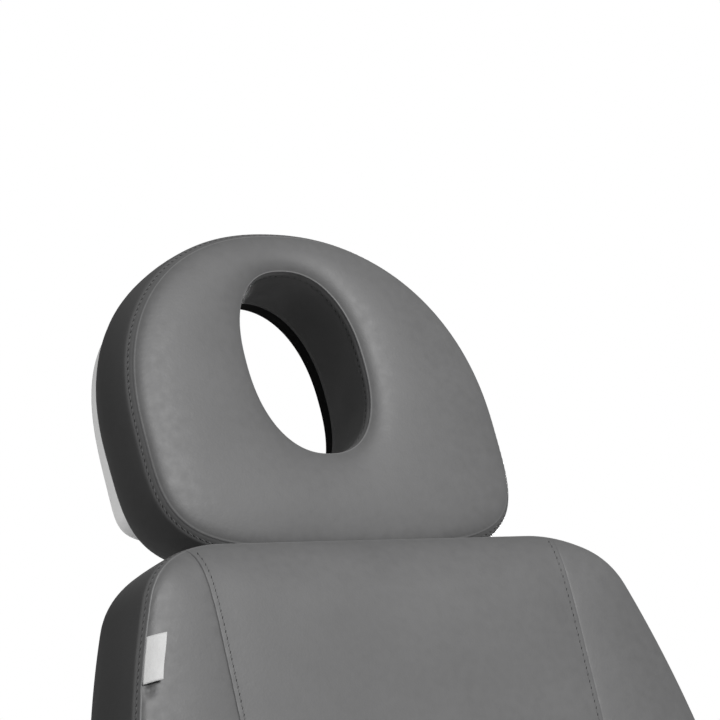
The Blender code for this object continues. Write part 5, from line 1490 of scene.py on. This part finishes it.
@dataclass(frozen=True)
class Fitting:
    """A small turned or moulded piece: flat outlines (k, m, 2) stacked at heights (k) along its axis."""

    rings: Array
    heights: Array

    @staticmethod
    def round_ring(radius: float, steps: int = 24) -> Array:
        """Return a circle."""
        turn = np.arange(steps) * 2 * np.pi / steps
        return radius * np.stack((np.cos(turn), np.sin(turn)), axis=1)

    @classmethod
    def screw(cls, radius: float) -> "Fitting":
        """Button-head screw with a hexagon socket, whose radius is r cos(30) / cos(t - 30) on each side."""
        turn = np.arange(24) * 2 * np.pi / 24
        side = np.cos(np.pi / 6) / np.cos(turn % (np.pi / 3) - np.pi / 6)
        socket = cls.round_ring(0.48 * radius) * side[:, None]
        head = [cls.round_ring(share * radius) for share in (1.0, 1.0, 0.93, 0.76, 0.56)]
        heights = np.array((-0.1, 0.15, 0.36, 0.52, 0.58, 0.56, 0.2))
        return cls(np.stack((*head, socket, socket * 0.96)), radius * heights)

    @classmethod
    def cap(cls, radius: float, height: float) -> "Fitting":
        """Domed end cap: a quarter of an ellipse on a short straight edge."""
        turn = np.linspace(0, 0.48 * np.pi, 6)
        rings = np.stack([cls.round_ring(radius * share) for share in (1.0, *np.cos(turn))])
        return cls(rings, height * np.concatenate(((-0.1,), 0.35 + 0.65 * np.sin(turn))))

    @classmethod
    def plug(cls, half_width: float, half_height: float, thick: float) -> "Fitting":
        """Rectangular plug with rounded corners and a chamfered front."""
        oval = HeadrestCushion.oval(half_width, half_height, half_height, 0.0, (9.0, 9.0))
        ring = along(oval, np.arange(48) / 48)
        return cls(np.stack((ring, ring, ring * 0.94)), thick * np.array((-0.05, 0.6, 1.0)))

    @classmethod
    def bezel(cls, half_width: float, half_height: float, thick: float) -> "Fitting":
        """Rectangular frame round a shallow recess."""
        outer = cls.plug(half_width, half_height, thick).rings[0]
        heights = np.array((-0.05, 1.0, 1.0, 0.15))
        return cls(np.stack((outer, outer, outer * 0.86, outer * 0.84)), thick * heights)

    @classmethod
    def arrow(cls, size: float, thick: float) -> "Fitting":
        """Flat triangle that points along the second direction."""
        ring = size * np.array(((-0.58, -0.5), (0.58, -0.5), (0.0, 0.5)))
        return cls(np.stack((ring, ring)), np.array((-thick / 4, thick)))

    def place(self, name: str, spots: Array, outs: Array, rise: Array) -> Piece:
        """Make copies at spots, each standing along its direction out, with its second one near rise."""
        side = unit(np.cross(rise, outs))[:, None, None]
        second = unit(np.cross(outs, side[:, 0, 0]))[:, None, None]
        flat = side * self.rings[None, ..., :1] + second * self.rings[None, ..., 1:]
        points = spots[:, None, None] + flat + outs[:, None, None] * self.heights[None, :, None, None]
        index = numbered(points)
        faces = [face for one in index for face in quads(wrapped(one, columns=True))]
        piece = new_object(name, points, faces + index[:, 0].tolist() + index[:, -1].tolist())
        piece.data.set_sharp_from_angle(angle=0.6)
        return piece


@dataclass
class Hardware:
    """Fittings that the solids leave to the looks: screws, end caps, inserts, key marks, inlet pins."""

    shop: Workshop
    back: Place
    head: Place
    joints: dict[str, Array]
    clear: float = 0.1
    screw_radius: float = 0.0045
    small_screw_radius: float = 0.0030
    back_screw_insets: tuple[float, float] = (0.026, 0.06)
    head_screw_across: float = 0.118
    head_screw_ups: tuple[float, float] = (-0.062, 0.085)

    def touch(self, piece: str, start: Array, towards: Array) -> tuple[Array, Array]:
        """Find where a ray meets a piece: the place and the direction out of its surface."""
        hit, spot, out, _ = bpy.data.objects[piece].ray_cast(Vector(start), Vector(towards))
        if not hit:
            raise ValueError(f"no surface of {piece} below {start}")
        return np.array(spot), np.array(out)

    def fasten(
        self,
        name: str,
        fitting: Fitting,
        finish: Finish,
        body: str,
        piece: str,
        starts: Array,
        towards: Array,
    ) -> None:
        """Set copies of a fitting on a piece, where rays from the starts meet it.

        Args:
            name: Name of the new piece.
            fitting: What is set there.
            finish: Its finish.
            body: The body that it rides on.
            piece: The piece or node that it sits on.
            starts: (n, 3) points outside of the piece.
            towards: Direction of the rays.
        """
        hits = [self.touch(piece, start, towards) for start in np.atleast_2d(starts)]
        spots, outs = (np.array(values) for values in zip(*hits))
        rise = UPWARDS if abs(outs[0, 2]) < 0.9 else BACKWARDS
        self.shop.dress(fitting.place(name, spots, outs, rise), finish, body)

    def screws(self) -> None:
        """Screw down the rear covers, the base cover and the control box."""
        screw, small = Fitting.screw(self.screw_radius), Fitting.screw(self.small_screw_radius)
        low, high = self.back.box("back_cover")
        inset, end = self.back_screw_insets
        ups, across = np.linspace(low[2] + end, high[2] - end, 3), high[0] - inset
        spots = np.array([(x, high[1] + self.clear, up) for up in ups for x in (-across, across)])
        rows = [("back_cover_screws", screw, "backrest", "back_cover", self.back, spots)]
        sides = (-self.head_screw_across, self.head_screw_across)
        spots = np.array([(x, 0.3, up) for up in self.head_screw_ups for x in sides])
        rows.append(("headrest_screws", screw, "headrest", "headrest_shell", self.head, spots))
        for name, fitting, body, piece, place, spots in rows:
            self.fasten(name, fitting, Finish.STEEL, body, piece, place.to_chair(spots), -place.axes[1])
        for node, fitting, body, inset, side in (
            ("base_cover", screw, "base", 0.040, 1),
            ("control_box", small, "seat", 0.010, -1),
        ):
            low, high, _ = solid_box(node)
            level = high[2] + self.clear if side > 0 else low[2] - self.clear
            ends = [(low[axis] + inset, high[axis] - inset) for axis in (0, 1)]
            starts = np.array([(x, y, level) for x in ends[0] for y in ends[1]])
            self.fasten(f"{node}_screws", fitting, Finish.STEEL, body, node, starts, -side * UPWARDS)

    def caps(self) -> None:
        """Cap the hinge shafts, the armrest pivots and the front ends of the seat rails."""
        black = Finish.BLACK_PLASTIC
        for node, radius in (("leg_hinge_shaft", 0.0095), ("back_hinge_shaft", 0.0115)):
            middle, cap = solid_box(node)[2], Fitting.cap(radius, 0.0040)
            for side, sign in SIDES:
                out = ACROSS * sign
                self.fasten(f"{node}_cap_{side}", cap, black, "seat", node, middle + out, -out)
        cap, plug = Fitting.cap(0.0105, 0.0035), Fitting.plug(0.0185, 0.0185, 0.003)
        for side, sign in SIDES:
            out = ACROSS * sign
            start = self.joints[f"arm_{side}_fold"] + out * 0.2
            self.fasten(f"arm_pivot_cap_{side}", cap, black, "seat", f"arm_post_{side}", start, -out)
            rail = f"seat_rail_{side}"
            low, high, middle = solid_box(rail)
            spot = np.array((middle[0], low[1], low[2] + (high[0] - low[0]) / 2))
            made = plug.place(f"{rail}_plug", spot[None], -BACKWARDS[None], UPWARDS)
            self.shop.dress(made, black, "seat")

    def knobs(self) -> None:
        """Set a metal insert into the end of each clamp knob."""
        insert = Fitting.cap(0.0085, 0.0012)
        rows = [(self.back, "headrest_knob", "head_clamp")]
        for side, _ in SIDES:
            place = Place.on_board(f"leg_board_{side}", -UPWARDS)
            rows.append((place, f"leg_knob_{side}", f"leg_clamp_{side}"))
        for place, knob, body in rows:
            low, high = place.box(knob)
            start = place.to_chair((low + high) / 2 + BACKWARDS * 0.2)
            self.fasten(f"{knob}_insert", insert, Finish.ALUMINIUM, body, knob, start, -place.axes[1])

    def controls(self) -> None:
        """Mark the handset's keys with arrows and give the mains inlet its frame and pins."""
        for key in ("key_lift", "key_back", "key_tilt"):
            low, _, middle = solid_box(key)
            for name, sign in (("up", 1.0), ("down", -1.0)):
                start = np.array((low[0] - self.clear, middle[1] + sign * 0.0095, middle[2]))
                mark = Fitting.arrow(sign * 0.007, 0.00025)
                self.fasten(f"{key}_{name}", mark, Finish.GREY_PLASTIC, key, key, start, ACROSS)
        inlet = "mains_inlet"
        _, high, middle = solid_box(inlet)
        start = np.array((middle[0], high[1] + self.clear, middle[2]))
        frame, pin = Fitting.bezel(0.0165, 0.0110, 0.003), Fitting.plug(0.0010, 0.0025, 0.0024)
        self.fasten("inlet_frame", frame, Finish.BLACK_PLASTIC, "base", inlet, start, -BACKWARDS)
        starts = start + np.array(((-0.007, 0.0, -0.003), (0.007, 0.0, -0.003), (0.0, 0.0, 0.003)))
        self.fasten("inlet_pins", pin, Finish.STEEL, "base", inlet, starts, -BACKWARDS)

    def build(self) -> None:
        """Make and dress every fitting."""
        bpy.context.view_layer.update()
        self.screws()
        self.caps()
        self.knobs()
        self.controls()


@dataclass
class Studio:
    """Floor, lamps, world and the camera at the photograph's angle."""

    azimuth: float = -34.5
    elevation: float = 0.2
    distance: float = 3.77
    lens: float = 214.3
    aim_right: float = 0.0395
    aim_up: float = 0.0333
    floor_radius: float = 1.32
    floor_glow: float = 0.3
    ambient: float = 0.14
    background_levels: tuple[tuple[str, float], ...] = (
        ("Is Camera Ray", 1.0), ("Is Glossy Ray", 0.12), ("Is Transmission Ray", 1.0)
    )
    lamps: tuple[tuple[str, Triple, float, float], ...] = (
        ("key_box", (1.2, -3.75, 5.37), 2.7, 285.0),
        ("rear_box", (2.05, 3.15, 1.0), 1.2, 85.0),
        ("white_fill", (-3.0, 2.0, 1.2), 2.0, 52.0),
    )

    def camera(self, target: Array) -> None:
        """Set the camera so that the headrest's middle falls where the photograph has it."""
        a, e = math.radians(self.azimuth), math.radians(self.elevation)
        back = np.array((math.sin(a) * math.cos(e), -math.cos(a) * math.cos(e), math.sin(e)))
        right = np.array((math.cos(a), math.sin(a), 0.0))
        aim = target + self.aim_right * right + self.aim_up * np.cross(back, right)
        spot = target + self.distance * back
        data = bpy.data.cameras.new("photo_camera")
        data.lens, data.sensor_width = self.lens, 36.0
        eye = bpy.data.objects.new("photo_camera", data)
        eye.location = spot
        eye.rotation_euler = Vector(aim - spot).to_track_quat("-Z", "Y").to_euler()
        bpy.context.scene.collection.objects.link(eye)
        bpy.context.scene.camera = eye

    def lamp(
        self, name: str, spot: Triple, aim: Array, size: float, power: float
    ) -> Piece:
        """Hang a square soft box that looks at a point, and return it."""
        data = bpy.data.lights.new(name, "AREA")
        data.size, data.energy = size, power
        box = bpy.data.objects.new(name, data)
        box.location = spot
        box.rotation_euler = (Vector(aim) - Vector(spot)).to_track_quat("-Z", "Y").to_euler()
        bpy.context.scene.collection.objects.link(box)
        return box

    def light(self, target: Array, white: list[Piece]) -> None:
        """Hang a large key lamp high in front, a weak one behind, and one for the white pieces only."""
        boxes = [self.lamp(name, spot, target, size, power) for name, spot, size, power in self.lamps]
        lit = bpy.data.collections.new("white_pieces")
        for piece in white:
            lit.objects.link(piece)
        boxes[-1].light_linking.receiver_collection = lit

    def world(self) -> None:
        """White to the camera and to transmission rays, a dim even grey in reflections and as light."""
        world = bpy.data.worlds.new("studio")
        bpy.context.scene.world = world
        world.use_nodes = True
        tree = world.node_tree
        back = tree.nodes["Background"]
        rays = tree.nodes.new("ShaderNodeLightPath")
        strength = None
        for kind, level in self.background_levels:
            brighter = tree.nodes.new("ShaderNodeMath")
            brighter.operation = "MULTIPLY_ADD"
            tree.links.new(rays.outputs[kind], brighter.inputs[0])
            brighter.inputs[1].default_value = level - self.ambient
            brighter.inputs[2].default_value = self.ambient
            if strength:
                tree.links.new(strength, brighter.inputs[2])
            strength = brighter.outputs[0]
        tree.links.new(strength, back.inputs["Strength"])
        back.inputs["Color"].default_value = (1.0, 1.0, 1.0, 1.0)

    def floor(self) -> None:
        """Lay a round pale floor that fades into the white of the background at its rim."""
        turn = np.linspace(0, 2 * np.pi, 97)[:-1]
        radii = np.linspace(0.05, 1.0, 12) * self.floor_radius
        flat = np.stack((np.outer(radii, np.cos(turn)), np.outer(radii, np.sin(turn))), axis=-1)
        rings = np.concatenate((flat, np.zeros_like(flat[..., :1])), axis=-1)
        index = numbered(rings)
        floor = new_object("floor", rings, quads(wrapped(index, columns=True)) + [index[0].tolist()])
        pale = Nodes.start("pale_floor")
        pale.set("Base Color", (0.82, 0.82, 0.82, 1.0))
        pale.set("Roughness", 0.7)
        far = pale.node("VectorMath", operation="LENGTH")
        fade = pale.node("MapRange", interpolation_type="SMOOTHSTEP")
        fade.inputs["From Min"].default_value = self.floor_radius * 0.55
        fade.inputs["From Max"].default_value = self.floor_radius * 0.98
        fade.inputs["To Min"].default_value = self.floor_glow
        shown = pale.node("Math", operation="MULTIPLY")
        mix = pale.node("MixShader")
        for output, socket in (
            (pale.where, far.inputs[0]),
            (far.outputs["Value"], fade.inputs["Value"]),
            (fade.outputs["Result"], shown.inputs[0]),
            (pale.node("LightPath").outputs["Is Camera Ray"], shown.inputs[1]),
            (shown.outputs[0], mix.inputs[0]),
            (pale.shader.outputs[0], mix.inputs[1]),
            (pale.node("Emission").outputs[0], mix.inputs[2]),
            (mix.outputs[0], pale.tree.nodes["Material Output"].inputs["Surface"]),
        ):
            pale.tree.links.new(output, socket)
        floor.data.materials.append(pale.material)

    def build(self, target: Array, white: list[Piece]) -> None:
        """Set up the whole studio around a target point, with a lamp of their own for the white pieces."""
        bpy.context.scene.view_settings.view_transform = "Standard"
        self.camera(target)
        self.light(target, white)
        self.world()
        self.floor()


@dataclass
class Upholstery:
    """Every cushion of the chair, in the places and sizes that the solids give."""

    shop: Workshop
    joints: dict[str, Array]
    panel_seam_at: float = 0.188
    seat_corner: float = 0.045
    leg_corner: float = 0.050
    arm_corner: float = 0.030
    head_rise_share: float = 0.6263
    head_middle_above_widest: float = 0.027
    head_foot_reach: float = 0.003
    head_side_trim: float = 0.0008
    back_shift: float = -0.0004
    back_top_rise: float = 0.0035
    dimple_in: float = 0.0055
    dimple_below_tag: float = 0.0046
    dimple_size: tuple[float, float] = (0.0055, 0.0030)

    def seam_place(self, node: str, board: str, towards: Array) -> tuple[Place, Array, Array]:
        """Return the place of a cushion whose deep = 0 is its front, centred on it, and its box there."""
        place = Place.on_board(board, towards)
        low, high = place.box(node)
        place = place.moved((low[0] + high[0]) / 2, low[1], (low[2] + high[2]) / 2)
        return place, *place.box(node)

    def headrest(self) -> HeadrestCushion:
        """Build the headrest and return it, for the camera."""
        place, low, high = self.seam_place("headrest_cushion", "headrest_board", BACKWARDS)
        height = high[2] - low[2]
        drop = height * (1 - self.head_rise_share)
        middle = low[2] + drop + self.head_middle_above_widest
        place = place.moved(up=middle)
        foot = drop + self.head_foot_reach
        half_width = high[0] - self.head_side_trim
        widest = -self.head_middle_above_widest
        cushion = HeadrestCushion(place, half_width, height - drop, foot, high[1], widest)
        cushion.build(self.shop)
        board, shell = place.box("headrest_board"), place.box("headrest_cover")
        HeadrestBack(cushion, board, shell).build(self.shop)
        return cushion

    def backrest(self) -> Place:
        """Build the backrest cushion with its three panels and the blank tag, and return its place."""
        place, low, high = self.seam_place("back_cushion", "back_board", BACKWARDS)
        rise = place.to_local(self.joints["back_recline"])[2]
        place = place.moved(across=self.back_shift, up=rise)
        outline = BackOutline(foot=low[2] - rise, top=high[2] - rise + self.back_top_rise)
        borders, seams = outline.panels()
        wall = WallProfile(high[1], roll=0.030, draw_in=0.0050)
        tag, side = SewnTag(place), borders[0][2]
        dimple_at = np.interp(tag.low, side[:, 1], side[:, 0]) + self.dimple_in
        cushion = PanelCushion(
            "back",
            "back_cushion",
            "backrest",
            place,
            borders,
            seams,
            wall,
            top_sink=0.011,
            sink_reach=0.019,
            top_tuck=0.8,
            dimples=[(dimple_at, tag.low - self.dimple_below_tag, *self.dimple_size)],
        )
        tag.build(self.shop, cushion.build(self.shop), side)
        return place

    def seat(self) -> None:
        """Build the seat cushion with its three panels."""
        place, low, high = self.seam_place("seat_cushion", "seat_board", -UPWARDS)
        size = high - low
        borders, seams = rounded_borders(size[0], size[2], self.seat_corner, self.panel_seam_at)
        wall = WallProfile(size[1], 0.0030, 0.0025, size[1] / 2, 0.020)
        PanelCushion("seat", "seat_cushion", "seat", place, borders, seams, wall).build(self.shop)

    def legs(self) -> None:
        """Build the two leg cushions."""
        for side, _ in SIDES:
            node, body = f"leg_cushion_{side}", f"leg_pad_{side}"
            place, low, high = self.seam_place(node, f"leg_board_{side}", -UPWARDS)
            size = high - low
            borders, seams = rounded_borders(size[0], size[2], self.leg_corner, None)
            wall = WallProfile(size[1], 0.0026, 0.0020, size[1] / 2, 0.016)
            PanelCushion(f"leg_{side}", node, body, place, borders, seams, wall).build(self.shop)

    def arms(self) -> None:
        """Build the two arm pads."""
        for side, _ in SIDES:
            name, node = f"arm_{side}", f"arm_pad_{side}"
            low, high, middle = solid_box(node)
            size = high - low
            axes = np.stack((ACROSS, -UPWARDS, BACKWARDS))
            place = Place(np.array((middle[0], middle[1], high[2])), axes)
            borders, seams = rounded_borders(size[0], size[1], self.arm_corner, None)
            wall = WallProfile(size[2], 0.0020, 0.0014, size[2] / 2, 0.012, 0.006)
            pad = PanelCushion(name, node, name, place, borders, seams, wall, crown=0.005, sim_cell=0.007)
            pad.build(self.shop)


def main() -> None:
    """Load the solids, dress them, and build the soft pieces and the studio."""
    logging.basicConfig(level=logging.INFO, format="%(message)s")
    for old in list(bpy.data.objects):
        bpy.data.objects.remove(old, do_unlink=True)
    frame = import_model()
    turning = [joint for joint in frame["joints"] if "pos_m" in joint]
    joints = {joint["name"]: np.array(joint["pos_m"]) for joint in turning}
    shop = Workshop()
    shop.prepare()
    shop.dress_solids(frame)
    covers = Upholstery(shop, joints)
    head = covers.headrest()
    back = covers.backrest()
    covers.seat()
    covers.legs()
    covers.arms()
    Hardware(shop, back, head.place, joints).build()
    Studio().build(head.place.origin, shop.white_pieces())


if __name__ == "__main__":
    main()
